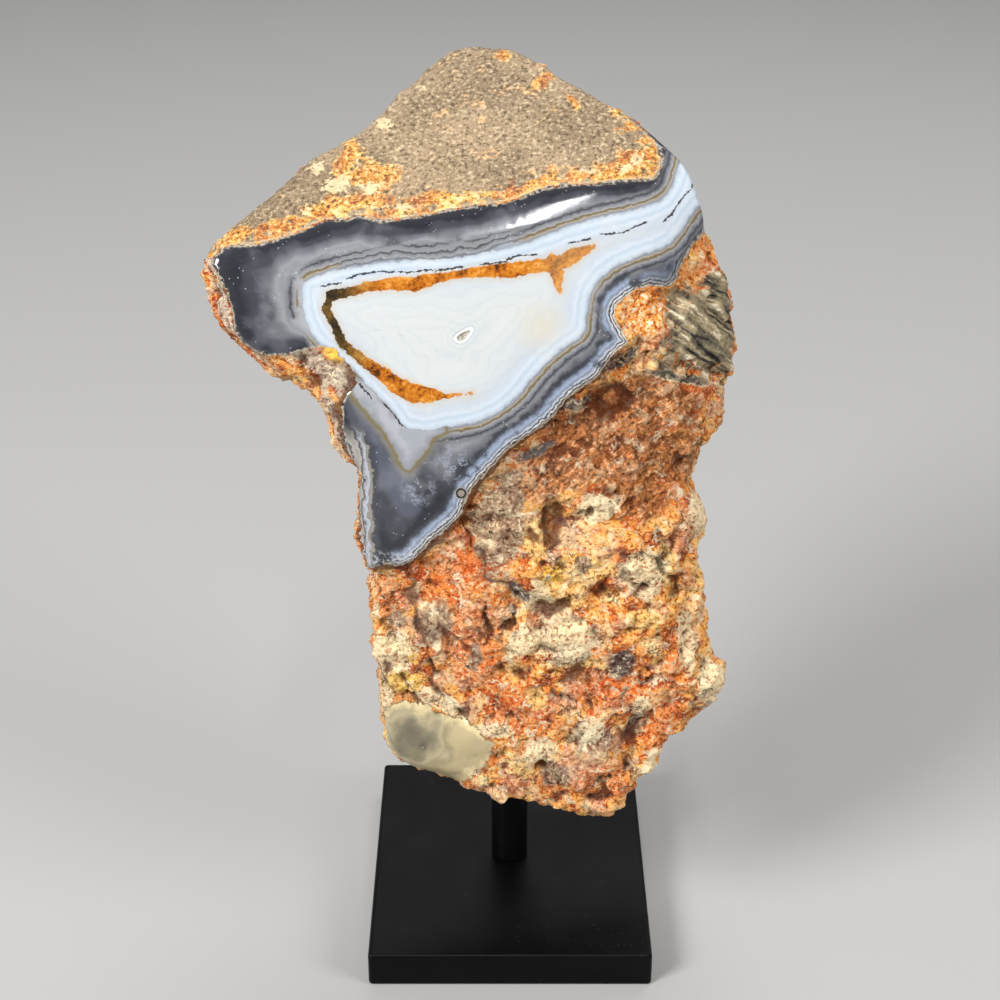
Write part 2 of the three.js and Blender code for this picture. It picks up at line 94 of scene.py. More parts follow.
WHITE_OUTLINE = [
    (-30.6, 20.7), (-29.7, 21.4), (-26.3, 22.5), (-23.4, 23.1), (-18.8, 23.6), (-14.2, 24.2),
    (-10, 24.1), (-6.2, 24.6), (-2.6, 25.4), (1.8, 26.3), (4.4, 27.4), (9.3, 29.2), (13.5, 30.4),
    (17.7, 31.3), (21.3, 32.4), (23.4, 34.5), (24.3, 37.6), (25.6, 42), (33, 38), (31, 33.4),
    (27.6, 32.8), (25.7, 30.2), (24, 27.5), (22.2, 26), (19.3, 25), (17.2, 24.3), (14.8, 23.1),
    (12.7, 21.4), (11.3, 19.4), (10.9, 16.1), (10.7, 13.5), (8.7, 12.3), (6.1, 10.3), (3.4, 7.6),
    (1.2, 4.7), (-1.4, 2.5), (-4.9, 0.7), (-8.3, 0.1), (-10.1, 0), (-12.5, -0.7), (-14.7, -0.4),
    (-16.2, 0.1), (-17.3, 2.2), (-19.2, 4.1), (-21.7, 6.6), (-23.4, 8.6), (-26.8, 11.1),
    (-29, 12.9), (-30.1, 15.3), (-30.6, 17.4),
]
LOBE_OUTLINE = [
    (-23.4, 4.6), (-20.8, 1.8), (-18.7, -0.6), (-17.3, -3), (-16.5, -5.2), (-15.3, -6.6),
    (-14.2, -5), (-12.7, -3.1), (-11.6, -1.2), (-9.4, -0.5), (-12, 0.6), (-16.2, 0.8),
    (-19, 4.4), (-21.8, 6.8), (-23.4, 7.4),
]
CAVITY_OUTLINE = [(-8.7, 12.9), (-5.5, 14.6), (-6.3, 13.2), (-7.3, 12.2)]
GLASS_OUTLINE = [
    (-22, -45.4), (-18, -42.4), (-14.8, -42.9), (-10.9, -44.9), (-6.3, -46.2), (-2.4, -49.5),
    (-3.4, -53.6), (-8.3, -57.4), (-13.6, -57), (-20.4, -54), (-23, -48.4),
]

# A lilac-grey streak down the lower left of the polished face: (u, v, half width).
LILAC_STREAK = [
    (-22.4, 3.6, 0.6), (-21, -1, 0.9), (-19.4, -5, 1.1), (-17.4, -8.6, 1.5), (-15.4, -11.6, 1.7),
]

# The edge of the polished face at its lower left: (u, v, half width).
LEFT_EDGE = [(-25.8, 2.2, 0), (-22.9, -3.7, 0), (-22.9, -12.8, 0), (-22.4, -22, 0)]

# Iron-stained seam round the white core: (u, v, half width) along three strands, all widened.
SEAM_GROWTH = 0.28
SEAM_UPPER = [
    (-26.5, 19.1, 0.44), (-23.1, 19.6, 0.44), (-20.8, 20.3, 0.44), (-17.4, 20.6, 0.65),
    (-14.2, 20.6, 0.8), (-11.4, 21.3, 0.51), (-7.7, 22, 0.24), (-4, 22.4, 0.51), (0, 22.6, 0.87),
    (4.3, 23.3, 0.65), (6.6, 23.3, 0.73), (8.9, 24.6, 0.87), (11.9, 26.1, 0.05),
]
SEAM_SPUR = [(6, 23.8, 0.87), (6.6, 21.9, 0.73), (7, 19.6, 0.05)]
SEAM_LEFT = [
    (-26.5, 18.8, 0.25), (-27.1, 17.2, 0.3), (-25.8, 14.6, 0.35), (-24.7, 12.1, 0.35),
    (-23, 10.6, 0.42), (-20.9, 9, 0.55), (-19, 7.8, 0.75), (-17, 6.1, 0.95), (-14.4, 4.9, 1.1),
    (-11.9, 4.6, 0.75), (-9.8, 4.5, 0.05), (-7.3, 4.7, 0), (-5.7, 4.9, -0.1),
]

# Fine black fissures: strokes of (u, v).
FISSURES = [
    [(-27.6, 20.4), (-25.1, 20.8)],
    [(-23.7, 21.4), (-22.2, 22.1), (-21.3, 22.2), (-18.8, 22.4)],
    [(-18.1, 22.3), (-17.3, 22.4)],
    [(-16.2, 22.3), (-14.2, 22.3), (-13.4, 22.5), (-11.7, 22.6)],
    [(-11, 22.4), (-9.4, 22.7), (-7.4, 23)],
    [(-4.3, 23.4), (-1.1, 23.7), (0.6, 24.6), (3.4, 24.8)],
    [(8.6, 26.5), (9.8, 26.7), (11.2, 27.1)],
    [(13.2, 27.8), (14.9, 28), (16.3, 28.1), (18, 28.9), (19.5, 29.5)],
    [(22.3, 30), (23.4, 30.9), (24.7, 33.1)],
    [(25, 33.4), (25.8, 34.2), (26.4, 35.2)],
    [(-23.5, 6.9), (-22.6, 6.4), (-20.6, 4.2)],
    [(-18.7, 3.2), (-17.4, 1.9), (-16.2, 0.3)],
]

# Round marks on the polished face: (u, v, radius).
EYE = (-7.5, -9.8, 0.72)
BUBBLE_FIELDS = [(-8.4, -5.4, 3.4), (-13.9, -9.3, 3.2)]

# The smooth patch at the lower left of the broken face: its dark cloud and its eye.
GLASS_MURK = (-15.6, -49.6, 8.5)
GLASS_EYE = (-14, -50.3, 0.35)

# Creases of the broken face: (u, v, half width) along each.
CREASES = [
    [(-15.9, -20.5, 0.1), (-15.2, -26.9, 0.3), (-14, -33.4, 0.3), (-11.4, -41.5, 0.3), (-8.8, -44, 0)],
    [(19, 11, 0), (21.2, 11.3, 0.35), (27, 9.8, 0.3), (33.6, 9.2, 0.2)],
    [(-5.9, -10.2, 0), (-6.2, -14, 0.25), (-5.3, -18.5, 0.25), (-3.1, -21.5, 0.3), (-0.9, -23.4, 0)],
    [(28, -36.6, 0), (24.1, -43.7, 0.3), (20.6, -48.2, 0.35), (17.7, -56.6, 0.1)],
    [(3.5, -5.6, 0), (5.1, -10.2, 0.3), (6.7, -16, 0)],
    [(-3, -33, 0), (-4.6, -28.4, 0.3), (-2, -25.6, 0.2), (1, -26.4, 0)],
    [(14, -24, 0), (18, -19.6, 0.25), (23.4, -20, 0.25), (25.6, -25, 0)],
    [(2, -39.6, 0), (9, -42.6, 0.3), (16.6, -44, 0.25), (20, -41, 0)],
]

# Patches of the broken face by colour: (u, v, half width, half height, any turn in degrees).
PATCHES = {
    "cream": [
        (12.7, -11.7, 3.2, 2.2, 10), (1.2, -32.8, 1.7, 3.3, -20), (7.5, -32, 5, 4),
        (12.7, -47.6, 2.6, 2.6), (27, 7.6, 8, 0.7, -6), (22.6, -54, 1.3, 4, -30),
        (4.7, -50.8, 2.8, 1.9, 10), (32, -40, 2, 4.6, 10), (-18.4, -35.6, 3.6, 5),
        (-9.6, -43.6, 3.4, 1.5, -35), (29.4, -12.4, 2.2, 3), (-20, -43.6, 1.6, 7, 6),
        (27.8, -33.5, 1.6, 5.4, 10), (20.7, -43.4, 1.4, 2), (-3, -47.6, 3, 1.2),
        (20, -22, 4, 3.4), (-13.6, -41.6, 3, 1.2, -30), (4, -26, 2, 3, 20),
    ],
    "yellow": [
        (8.5, -23.6, 4, 4.4), (13, -21.5, 4, 2), (-17.2, -39.8, 2.8, 1.8, -8),
        (4, -17.6, 2.2, 3.4), (10.4, -36.4, 5, 1.2), (20, -29.5, 3, 2),
        (24, -21, 1.6, 3), (2, -54.4, 2, 1.4), (4, -42, 1.6, 2), (-19, -20.5, 1.6, 1.4),
    ],
    "grey": [
        (-2, -14.4, 3.9, 8, -8), (-11.6, -29.4, 2.2, 3.6, -20), (13.4, -49, 3, 2.6),
        (7.2, -55.4, 2.6, 2.4), (11, -20.6, 1.2, 1.3), (28, 14.4, 6, 4.6),
        (-5.6, -35.6, 0.9, 2.6), (9, -35, 3, 2), (-17.6, -29.6, 1.9, 1.2),
    ],
    # Dark grey patches; those hugging the lower right of the polished rim and those under the ledge at the
    # right are painted shadow.
    "dark": [
        (17.4, -36.6, 2.3, 2.7, 30), (1.4, -24.8, 2, 1, -30), (0.2, -27.4, 0.7, 1.4),
        (15.6, 9.8, 3.2, 1, 30), (25, 8, 6.5, 0.6, -8), (9.6, 3.6, 2.4, 0.8, 10),
        (19.4, -47.6, 0.8, 4, -30), (3.6, -3.4, 3, 0.9, 24), (26, 12.4, 4, 0.9, -6),
    ],
    "rust": [
        (-9, -22.6, 5.4, 4.6, 20), (-18.6, -26.4, 2.2, 3.4), (-5.4, -33.5, 4.4, 7),
        (29, 23.4, 1.8, 4.6), (15, -56, 5, 3.6), (24, -47, 2.4, 5, -25), (2, -44, 5, 4),
        (26.6, -36, 2.4, 6), (16, -41, 6, 2.6, 10), (29.6, 6.8, 3.4, 1.2),
    ],
    "brown": [
        (13.3, -2, 9, 7), (22, 3.4, 7, 5), (5, -6.5, 6, 4, 30), (18, -10, 7, 4),
        (24, -4, 5, 5),
    ],
    "strata": [(28.6, 14.4, 6.6, 5.6), (30.6, 20.6, 3, 3.6, -30), (31, 10.4, 5, 2, -6)],
    "gold": [(-17, -39.6, 2.8, 1.8, -10), (-15.2, -35.8, 1, 0.9), (6.4, -22, 1.6, 1.2)],
    "crumbly": [
        (-29.3, 9.7, 3.4, 1.8, -20), (-26.2, 1.4, 1, 5, 26), (-24, -5.4, 0.8, 3.4, 20),
        (-42.2, 17.2, 0.9, 5, 12), (-43.8, 23.4, 1, 2, 30), (-24.9, 6.6, 1.6, 2.6),
        (-27, 8, 2.6, 2.2, -30),
    ],
}

# Patches of the weathered top, in the same form.
TOP_PATCHES = {
    "top_orange": [
        (-24.4, 40.4, 2, 3.4, -20), (-21, 37.2, 5.4, 2.6), (-21, 33.6, 5, 2),
        (17.6, 39, 5.4, 1.5, 14), (-12, 33.4, 5, 1.2, 4),
        (-27, 32.2, 4, 1.6, 12), (-39.6, 28.3, 2.4, 1.2, 20), (-1, 57.4, 1.8, 1),
        (9.4, 48.6, 0.9, 1.8, 40), (4.6, 52.6, 2, 1.4, 50), (-8, 32.7, 4, 0.6, 8),
        (-34, 29.2, 2.4, 1, 10), (17, 36.4, 3, 0.7), (15.6, 47, 1.6, 0.8, 40),
    ],
    "top_cream": [
        (-26, 35.8, 3.2, 1.8, 10), (-29, 38.8, 2, 1.6), (-22, 34.8, 4.4, 1.4),
        (-30, 31.4, 4, 1, 14), (-20.4, 31.6, 3, 0.8, 6), (18.4, 38.2, 4.4, 1.4, 12),
        (9, 36.4, 4, 0.8, 16), (-13, 31.9, 5, 0.6, 4), (0, 34, 5, 0.6, 14), (-36, 28, 4, 0.8),
        (-16.6, 41.6, 0.6, 0.5), (-13, 51.6, 0.8, 1.8, 50), (-19, 45.8, 1, 3, 60),
    ],
}

# Spots of colour: (u, v, radius). Cream in the white core, yellow and orange crust beside it.
CORE_WARMTH = (4.4, 14.4, 4.6)
CRUST_GLOW = (-25.8, 11.1, 2.2)
NOTCH_CRUST = (19.4, 16.4, 4)

# How much light the polished and weathered surfaces return beside the bright broken one.
POLISH_SHADE = 0.73

# The ground face and the top above it: w where u and v, or u and v - TOP_EDGE, are 0, the
# slopes, and the rolls at the right, each as (where it starts, softness).
GROUND_REACH = 27.6
GROUND_SLOPE = 0.238
GROUND_ROLL = (18, 42)
DOME_CENTRE = (-8, 10)
DOME_SOFTNESS = 500
TOP_REACH = 33.2
TOP_TILT = 0.14
TOP_SLOPE = 0.664
TOP_EDGE = 32.1
TOP_ROLL = (12, 90)
BEVEL_RADIUS = 5

# The stone's mesh: its fineness, and the radius round the socket that keeps its shape.
MESH_LEVELS = 2
SOCKET_CLEARANCE = 4.4
CAVITY_DEPTH = 0.5

# Relief of the broken faces: heights, and (height, size, shift of the pattern) of each layer.
GRAIN_HEIGHT = 0.3
RIDGE_HEIGHT = 0.3
CREASE_DEPTH = 0.5
PEBBLES = [(0.2, 4.4, 0), (0.12, 1.7, 31)]
FLAKES = [(1.2, 6.5, 0), (0.5, 2.6, 17)]

# How far noise bends the patterns of the broken faces.
WARP = 1.4

# The stand: facets round the post, and how far its edges are eased.
POST_SEGMENTS = 96
POST_EASE = 0.3
BASE_EASE = 0.7

# How far bands reach in from the edge of the polished face and of its white zone.
RIM_BANDS = 3.6
WHITE_ZONE = 8


def linear(red, green, blue):
    """A display colour of 0 to 255 as the linear colour that shaders take."""
    values = [channel / 255 for channel in (red, green, blue)]
    return tuple(c / 12.92 if c <= 0.04045 else ((c + 0.055) / 1.055) ** 2.4 for c in values) + (1.0,)


# Distances on the polished face

def stretch_distance(u, v, start, end):
    """Distance of each point to one stretch of a line, and how far along it is, from 0 to 1."""
    du = end[0] - start[0]
    dv = end[1] - start[1]
    share = np.clip(((u - start[0]) * du + (v - start[1]) * dv) / (du * du + dv * dv), 0, 1)
    return np.hypot(u - start[0] - share * du, v - start[1] - share * dv), share


def rounded(outline):
    """A closed outline with its corners cut, twice over."""
    for _ in range(2):
        cut = []
        for start, end in zip(outline, outline[1:] + outline[:1]):
            for share in (0.25, 0.75):
                cut.append(tuple(s + share * (e - s) for s, e in zip(start, end)))
        outline = cut
    return outline


def inside_distance(outline, u, v):
    """Distance to a closed outline with rounded corners, positive inside it."""
    outline = rounded(outline)
    nearest = np.full(u.shape, np.inf)
    inside = np.zeros(u.shape, bool)
    for start, end in zip(outline, outline[1:] + outline[:1]):
        nearest = np.minimum(nearest, stretch_distance(u, v, start, end)[0])
        crosses = (start[1] > v) != (end[1] > v)
        if start[1] != end[1]:
            at = (end[0] - start[0]) * (v - start[1]) / (end[1] - start[1]) + start[0]
            inside ^= crosses & (u < at)
    return np.where(inside, nearest, -nearest)


def seam_distance(strands, u, v):
    """Positive inside strands whose half width changes along them."""
    best = np.full(u.shape, -9.0)
    for strand in strands:
        for start, end in zip(strand, strand[1:]):
            away, share = stretch_distance(u, v, start, end)
            best = np.maximum(best, start[2] + share * (end[2] - start[2]) - away)
    return best


def stroke_side(strokes, u, v):
    """Signed distance across the nearest stroke, and 1 beside a stroke or 0 past its ends."""
    nearest = np.full(u.shape, np.inf)
    across = np.full(u.shape, 9.0)
    beside = np.zeros(u.shape)
    for stroke in strokes:
        for start, end in zip(stroke, stroke[1:]):
            away = stretch_distance(u, v, start, end)[0]
            length = math.hypot(end[0] - start[0], end[1] - start[1])
            side = (u - start[0]) * (end[1] - start[1]) - (v - start[1]) * (end[0] - start[0])
            side /= length
            past = np.sqrt(np.maximum(away ** 2 - side ** 2, 0))
            closer = away < nearest
            nearest = np.where(closer, away, nearest)
            across = np.where(closer, side, across)
            beside = np.where(closer, np.clip(1 - past / 0.5, 0, 1), beside)
    return across, beside


def spot(u, v, centre):
    """1 at a spot's centre, falling to 0 at its radius."""
    away = np.hypot(u - centre[0], v - centre[1]) / centre[2]
    return np.clip(1 - away, 0, 1)


def patch_share(patches, u, v):
    """1 inside turned ellipses, falling to 0 over their edges."""
    share = np.zeros(u.shape)
    for centre_u, centre_v, half_width, half_height, *turn in patches:
        angle = math.radians(sum(turn))
        along = (u - centre_u) * math.cos(angle) + (v - centre_v) * math.sin(angle)
        across = (v - centre_v) * math.cos(angle) - (u - centre_u) * math.sin(angle)
        away = np.hypot(along / half_width, across / half_height)
        share = np.maximum(share, np.clip(1.5 - away, 0, 1))
    return share


# The stone's smooth faces, as in its solid

def soft_min(a, b, radius):
    h = np.maximum(radius - np.abs(a - b), 0) / radius
    return np.minimum(a, b) - h * h * radius / 4


def rolled(u, start, softness):
    """How far a face has rolled back to the right of where its roll starts."""
    return np.maximum(0, u - start) ** 2 / softness


def ground_face(u, v):
    dome = ((u - DOME_CENTRE[0]) ** 2 + (v - DOME_CENTRE[1]) ** 2) / DOME_SOFTNESS
    return GROUND_REACH + GROUND_SLOPE * v - dome - rolled(u, *GROUND_ROLL)


def top_face(u, v):
    return TOP_REACH + TOP_TILT * u - TOP_SLOPE * (v - TOP_EDGE) - rolled(u, *TOP_ROLL)


def fade(value, low, high):
    """Smooth step from 0 at low to 1 at high."""
    t = np.clip((value - low) / (high - low), 0, 1)
    return t * t * (3 - 2 * t)


# The stone's mesh

def piece_from(body, name):
    """A smooth-shaded object made of a bmesh, which is then freed."""
    mesh = bpy.data.meshes.new(name)
    body.to_mesh(mesh)
    body.free()
    mesh.shade_smooth()
    piece = bpy.data.objects.new(name, mesh)
    bpy.context.scene.collection.objects.link(piece)
    return piece


def refined_mesh(node, name):
    """A subdivided copy of a CAD node's mesh."""
    body = bmesh.new()
    body.from_mesh(node.data)
    bmesh.ops.remove_doubles(body, verts=body.verts, dist=1e-6)
    piece = piece_from(body, name)
    subdivision = piece.modifiers.new("subdivision", "SUBSURF")
    subdivision.levels = MESH_LEVELS
    subdivision.render_levels = MESH_LEVELS
    depsgraph = bpy.context.evaluated_depsgraph_get()
    fine = bpy.data.meshes.new_from_object(piece.evaluated_get(depsgraph))
    piece.modifiers.clear()
    coarse = piece.data
    piece.data = fine
    bpy.data.meshes.remove(coarse)
    return piece


def read_vectors(items, name):
    values = np.empty(len(items) * 3)
    items.foreach_get(name, values)
    return values.reshape(-1, 3)


def turn_to_facing(directions):
    x, y, z = directions.T
    return np.stack([x, y * LEAN_SIN + z * LEAN_COS, z * LEAN_SIN - y * LEAN_COS], axis=1)


def to_facing(points):
    """From metres in the row frame to the facing frame in millimetres."""
    return turn_to_facing(points / MM - (0, 0, STONE_HEIGHT))


def from_facing(points):
    """From the facing frame in millimetres to metres in the row frame."""
    u, v, w = points.T
    y = v * LEAN_SIN - w * LEAN_COS
    height = v * LEAN_COS + w * LEAN_SIN
    return np.stack([u, y, height + STONE_HEIGHT], axis=1) * MM


def grain(points, size, layers, shift=0.0):
    """Layered noise with features of the given size in millimetres; most values lie in -1 to 1."""
    values = np.array([noise.fractal(Vector(p), 0.9, 2.1, layers) for p in points / size + shift])
    return (values - values.mean()) / (2 * values.std())


def pebbles(points, size):
    """Packed grains, domed, with a groove round each: about -0.6 to 0.4."""
    heights = np.empty(len(points))
    for index, point in enumerate(points / size):
        distances = noise.voronoi(Vector(point))[0]
        gap = min((distances[1] - distances[0]) / 0.35, 1)
        heights[index] = gap * (2 - gap) - 0.6
    return heights


def flakes(points, size):
    """Flat chips, each leaning its own way: about -0.6 to 0.6."""
    heights = np.empty(len(points))
    for index, point in enumerate(points / size):
        distances, centres = noise.voronoi(Vector(point))
        lean = noise.cell_vector(centres[0] * 7.3) - Vector((0.5, 0.5, 0.5))
        flat = lean.dot(Vector(point) - centres[0]) + 0.6 * lean.x
        heights[index] = 1.4 * flat * min((distances[1] - distances[0]) / 0.15, 1)
    return heights


def broken_relief(points, warped, crease):
    """Height of the broken faces: grain, ridges, pebbles and flakes, sunk along the creases."""
    relief = GRAIN_HEIGHT * grain(points, 2.6, 4) - CREASE_DEPTH * fade(crease, -1, 0.2)
    ridges = 1 - np.abs(grain(warped, 5.5, 3, 5)) * 2.2
    relief += RIDGE_HEIGHT * np.clip(ridges, -1, 1)
    for shape, layers in ((pebbles, PEBBLES), (flakes, FLAKES)):
        for height, size, shift in layers:
            relief += height * shape(warped + shift, size)
    return relief


def rind_relief(points, warped, u, v):
    """Height of the weathered top: fine pitting, and crumbs in its patches."""
    crumbs = np.maximum(*(patch_share(patches, u, v) for patches in TOP_PATCHES.values()))
    rind = 0.12 * grain(points, 1.6, 4) + 0.16 * grain(points, 6, 2, 9)
    return rind + 0.3 * crumbs * (0.6 + pebbles(warped, 1.5))


def patch_marks(u, v, facing):
    marks = {"patch_" + name: patch_share(patches, u, v) * facing for name, patches in PATCHES.items()}
    for name, patches in TOP_PATCHES.items():
        marks["patch_" + name] = patch_share(patches, u, v)
    return marks


def write_marks(mesh, marks, place):
    """Keeps numbers and each point's smooth place on the mesh, where its material reads them."""
    for name, values in marks.items():
        layer = mesh.attributes.new(name, "FLOAT", "POINT")
        layer.data.foreach_set("value", np.ascontiguousarray(values, dtype=np.float32))
    layer = mesh.attributes.new("place", "FLOAT_VECTOR", "POINT")
    layer.data.foreach_set("vector", place.astype(np.float32).ravel())


def shape_stone():
    """The stone: the solid refined, its polish trued and its broken faces given their grain."""
    piece = refined_mesh(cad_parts["agate"], "agate_stone")
    mesh = piece.data
    points = to_facing(read_vectors(mesh.vertices, "co"))
    normals = turn_to_facing(read_vectors(mesh.vertex_normals, "vector"))
    place = points.copy()
    u, v, w = place.T

    # Which surface each point is on.
    rim = inside_distance(POLISHED_RIM, u, v)
    below_face = soft_min(ground_face(u, v), top_face(u, v), BEVEL_RADIUS) - w
    facing = fade(normals[:, 2], 0.05, 0.35)
    shoulder = fade(u, 18, 22) * fade(v, 24, 27)
    polish = np.minimum(rim, 4 * (1.6 + 6 * shoulder - below_face))
    upper = (top_face(u, v) < ground_face(u, v) + 1.5) & (rim < 0)
    top = np.where(upper, np.minimum(-rim, 5 - below_face), -1.0)
    glass = inside_distance(GLASS_OUTLINE, u, v)
    cavity = inside_distance(CAVITY_OUTLINE, u, v)

    trued = fade(polish, 0.1, 0.6) * fade(normals[:, 2], 0.2, 0.5)
    points[:, 2] += trued * np.clip(below_face, -0.5, 0.5)
    points[:, 2] -= CAVITY_DEPTH * fade(cavity, -0.05, 0.35) * (below_face < 1)

    metres = from_facing(points)
    radial = np.hypot(metres[:, 0], metres[:, 1]) / MM
    away_from_post = (radial >= SOCKET_CLEARANCE) | (metres[:, 2] >= POST_HIGH[2] + 2 * MM)
    on_top = fade(top, 0, 1)
    weathered = on_top * fade(-polish, 0.05, 0.8) * away_from_post
    broken = fade(-polish, 0.1, 0.9) * (1 - on_top) * away_from_post
    broken *= 1 - 0.92 * fade(glass, -0.8, 0.8) * facing
    warped = points + WARP * np.stack([grain(points, 4, 2, s) for s in (11, 23, 37)], axis=1)
    crease = seam_distance(CREASES, warped[:, 0], warped[:, 1]) + 0.3 * grain(points, 3, 3, 41)
    relief = broken_relief(points, warped, crease) * broken
    rind = rind_relief(points, warped, u, v) * weathered
    points += normals * (relief + rind)[:, None]
    mesh.vertices.foreach_set("co", np.ascontiguousarray(from_facing(points)).ravel())
    mesh.update()

    across, beside = stroke_side(FISSURES, u, v)
    along_rim = np.stack([u / 6, v / 6, rim], axis=1)
    white = inside_distance(WHITE_OUTLINE, u, v)
    outside = np.maximum(-white, 0)
    marks = patch_marks(u, v, facing) | {
        "polish": polish,
        "layer": outside / (outside + np.maximum(polish, 0) + 0.01),
        "white": white,
        "glass": np.where(facing > 0.5, glass, -1),
        "lobe": inside_distance(LOBE_OUTLINE, u, v),
        "seam": seam_distance([SEAM_UPPER, SEAM_SPUR, SEAM_LEFT], u, v) + SEAM_GROWTH,
        "fissure_across": across,
        "fissure_beside": beside,
        "cavity": cavity,
        "top": top,
        "relief": relief,
        "warmth": spot(u, v, CORE_WARMTH),
        "glow": spot(u, v, CRUST_GLOW) * facing,
        "notch": spot(u, v, NOTCH_CRUST) * facing,
        "eye": np.hypot(u - EYE[0], v - EYE[1]),
        "bubbles": np.maximum(*(spot(u, v, field) for field in BUBBLE_FIELDS)),
        "behind": fade(-normals[:, 2], -0.1, 0.5),
        "murk": spot(u, v, GLASS_MURK),
        "glass_eye": np.hypot(u - GLASS_EYE[0], v - GLASS_EYE[1]),
        "crease": np.where(facing > 0.3, crease, -9),
        "cloud": grain(points, 5, 5, 3),
        "streak": grain(along_rim, 1.5, 3, 7),
        "broad": grain(points, 8, 3, 13),
        "medium": grain(points, 2.2, 4, 17),
        "ragged": grain(points, 2.8, 5, 19),
        "lilac": seam_distance([LILAC_STREAK], u, v),
        "left_edge": -seam_distance([LEFT_EDGE], u, v),
    }
    write_marks(mesh, marks, place)
    return piece


# Materials

class Graph:
    """Adds shader nodes to one material and links them."""

    def __init__(self, name):
        self.material = bpy.data.materials.new(name)
        self.material.use_nodes = True
        self.tree = self.material.node_tree
        self.shader = self.tree.nodes["Principled BSDF"]
        self.coordinates = None

    def node(self, kind, **settings):
        made = self.tree.nodes.new(kind)
        for key, value in settings.items():
            setattr(made, key, value)
        return made

    def put(self, socket, value):
        if isinstance(value, bpy.types.NodeSocket):
            self.tree.links.new(value, socket)
        elif value is not None:
            socket.default_value = value

    def __getitem__(self, name):
        """One of the numbers that the mesh holds at its points."""
        return self.node("ShaderNodeAttribute", attribute_name=name).outputs["Fac"]

    def math(self, operation, a, b=None, c=None, clamp=False):
        made = self.node("ShaderNodeMath", operation=operation, use_clamp=clamp)
        for socket, value in zip(made.inputs, (a, b, c)):
            self.put(socket, value)
        return made.outputs[0]

    def times(self, first, *others, clamp=False):
        """The product of numbers, held to 0 to 1 where asked."""
        for other in others:
            first = self.math("MULTIPLY", first, other, clamp=clamp)
        return first

    def times_plus(self, a, b, c):
        return self.math("MULTIPLY_ADD", a, b, c)

    def share(self, value, whole):
        return self.math("DIVIDE", value, whole, clamp=True)

    def step(self, value, low, high, to_low=0.0, to_high=1.0):
        """Smooth step between two values."""
        made = self.node("ShaderNodeMapRange", interpolation_type="SMOOTHSTEP")
        for socket, given in zip(made.inputs, (value, low, high, to_low, to_high)):
            self.put(socket, given)
        return made.outputs["Result"]

    def mix(self, factor, a, b, blend="MIX"):
        """Colour b over colour a by a factor. Colours are links or display values."""
        made = self.node("ShaderNodeMix", data_type="RGBA", blend_type=blend)
        self.put(made.inputs[0], factor)
        for socket, colour in zip(made.inputs[6:8], (a, b)):
            self.put(socket, linear(*colour) if isinstance(colour, tuple) else colour)
        return made.outputs[2]

    def lay(self, under, over, value, low, high, share=1.0):
        """Colour over laid on colour under, from none at low to its share at high."""
        return self.mix(self.step(value, low, high, 0, share), under, over)

    def dimmed(self, colour, share):
        made = self.node("ShaderNodeVectorMath", operation="SCALE")
        self.put(made.inputs[0], colour)
        self.put(made.inputs["Scale"], share)
        return made.outputs[0]

    def blend(self, factor, a, b):
        """Number b over number a by a factor."""
        made = self.node("ShaderNodeMix", data_type="FLOAT")
        self.put(made.inputs[0], factor)
        self.put(made.inputs[2], a)
        self.put(made.inputs[3], b)
        return made.outputs[0]

    def ramp(self, value, stops):
        """Display colours, each at its place between 0 and 1."""
        made = self.node("ShaderNodeValToRGB")
        elements = made.color_ramp.elements
        while len(elements) < len(stops):
            elements.new(1.0)
        for element, (position, colour) in zip(elements, stops):
            element.position = position
            element.color = linear(*colour)
        self.put(made.inputs[0], value)
        return made.outputs["Color"]

    def noise(self, scale, detail=4.0, roughness=0.55, distortion=0.0, vector=None, output="Fac"):
        made = self.node("ShaderNodeTexNoise")
        self.put(made.inputs["Vector"], vector or self.coordinates)
        self.put(made.inputs["Scale"], scale)
        self.put(made.inputs["Detail"], detail)
        self.put(made.inputs["Roughness"], roughness)
        self.put(made.inputs["Distortion"], distortion)
        return made.outputs[output]

    def cells(self, scale, feature="F1", output="Distance", vector=None):
        made = self.node("ShaderNodeTexVoronoi", feature=feature)
        self.put(made.inputs["Vector"], vector or self.coordinates)
        self.put(made.inputs["Scale"], scale)
        return made.outputs[output]

    def stretched(self, lengths, turn):
        """Coordinates drawn out to the given lengths, along axes turned about w."""
        made = self.node("ShaderNodeMapping", vector_type="TEXTURE")
        self.put(made.inputs["Vector"], self.coordinates)
        self.put(made.inputs["Scale"], lengths)
        self.put(made.inputs["Rotation"], (0, 0, turn))
        return made.outputs[0]


def shifted(graph, value, amount, channel):
    """A distance made wavy, by one of the three channels of the material's shared noise."""
    return graph.times_plus(graph.waves[channel], amount, value)


def dark_agate(graph):
    """Grey to near-black agate, in soft layers from the white zone out to the rim."""
    cloud = graph["cloud"]
    layer = graph.times_plus(cloud, -0.1, graph["layer"])
    outer = graph.ramp(graph.times_plus(graph["streak"], 0.035, layer), [
        (0, (168, 172, 178)), (0.1, (158, 160, 163)), (0.2, (150, 151, 153)),
        (0.3, (132, 133, 137)), (0.36, (142, 143, 146)), (0.46, (112, 113, 118)),
        (0.55, (96, 97, 103)), (0.64, (66, 67, 74)), (0.74, (62, 63, 70)),
        (0.84, (44, 45, 52)), (1, (56, 56, 60)),
    ])
    outer = graph.lay(outer, (126, 128, 134), cloud, 0.2, 0.9, 0.2)
    outer = graph.lay(outer, (34, 35, 40), cloud, -0.2, -0.9, 0.45)
    return graph.lay(outer, (96, 100, 114), graph["lilac"], -0.8, 0.4, 0.6)


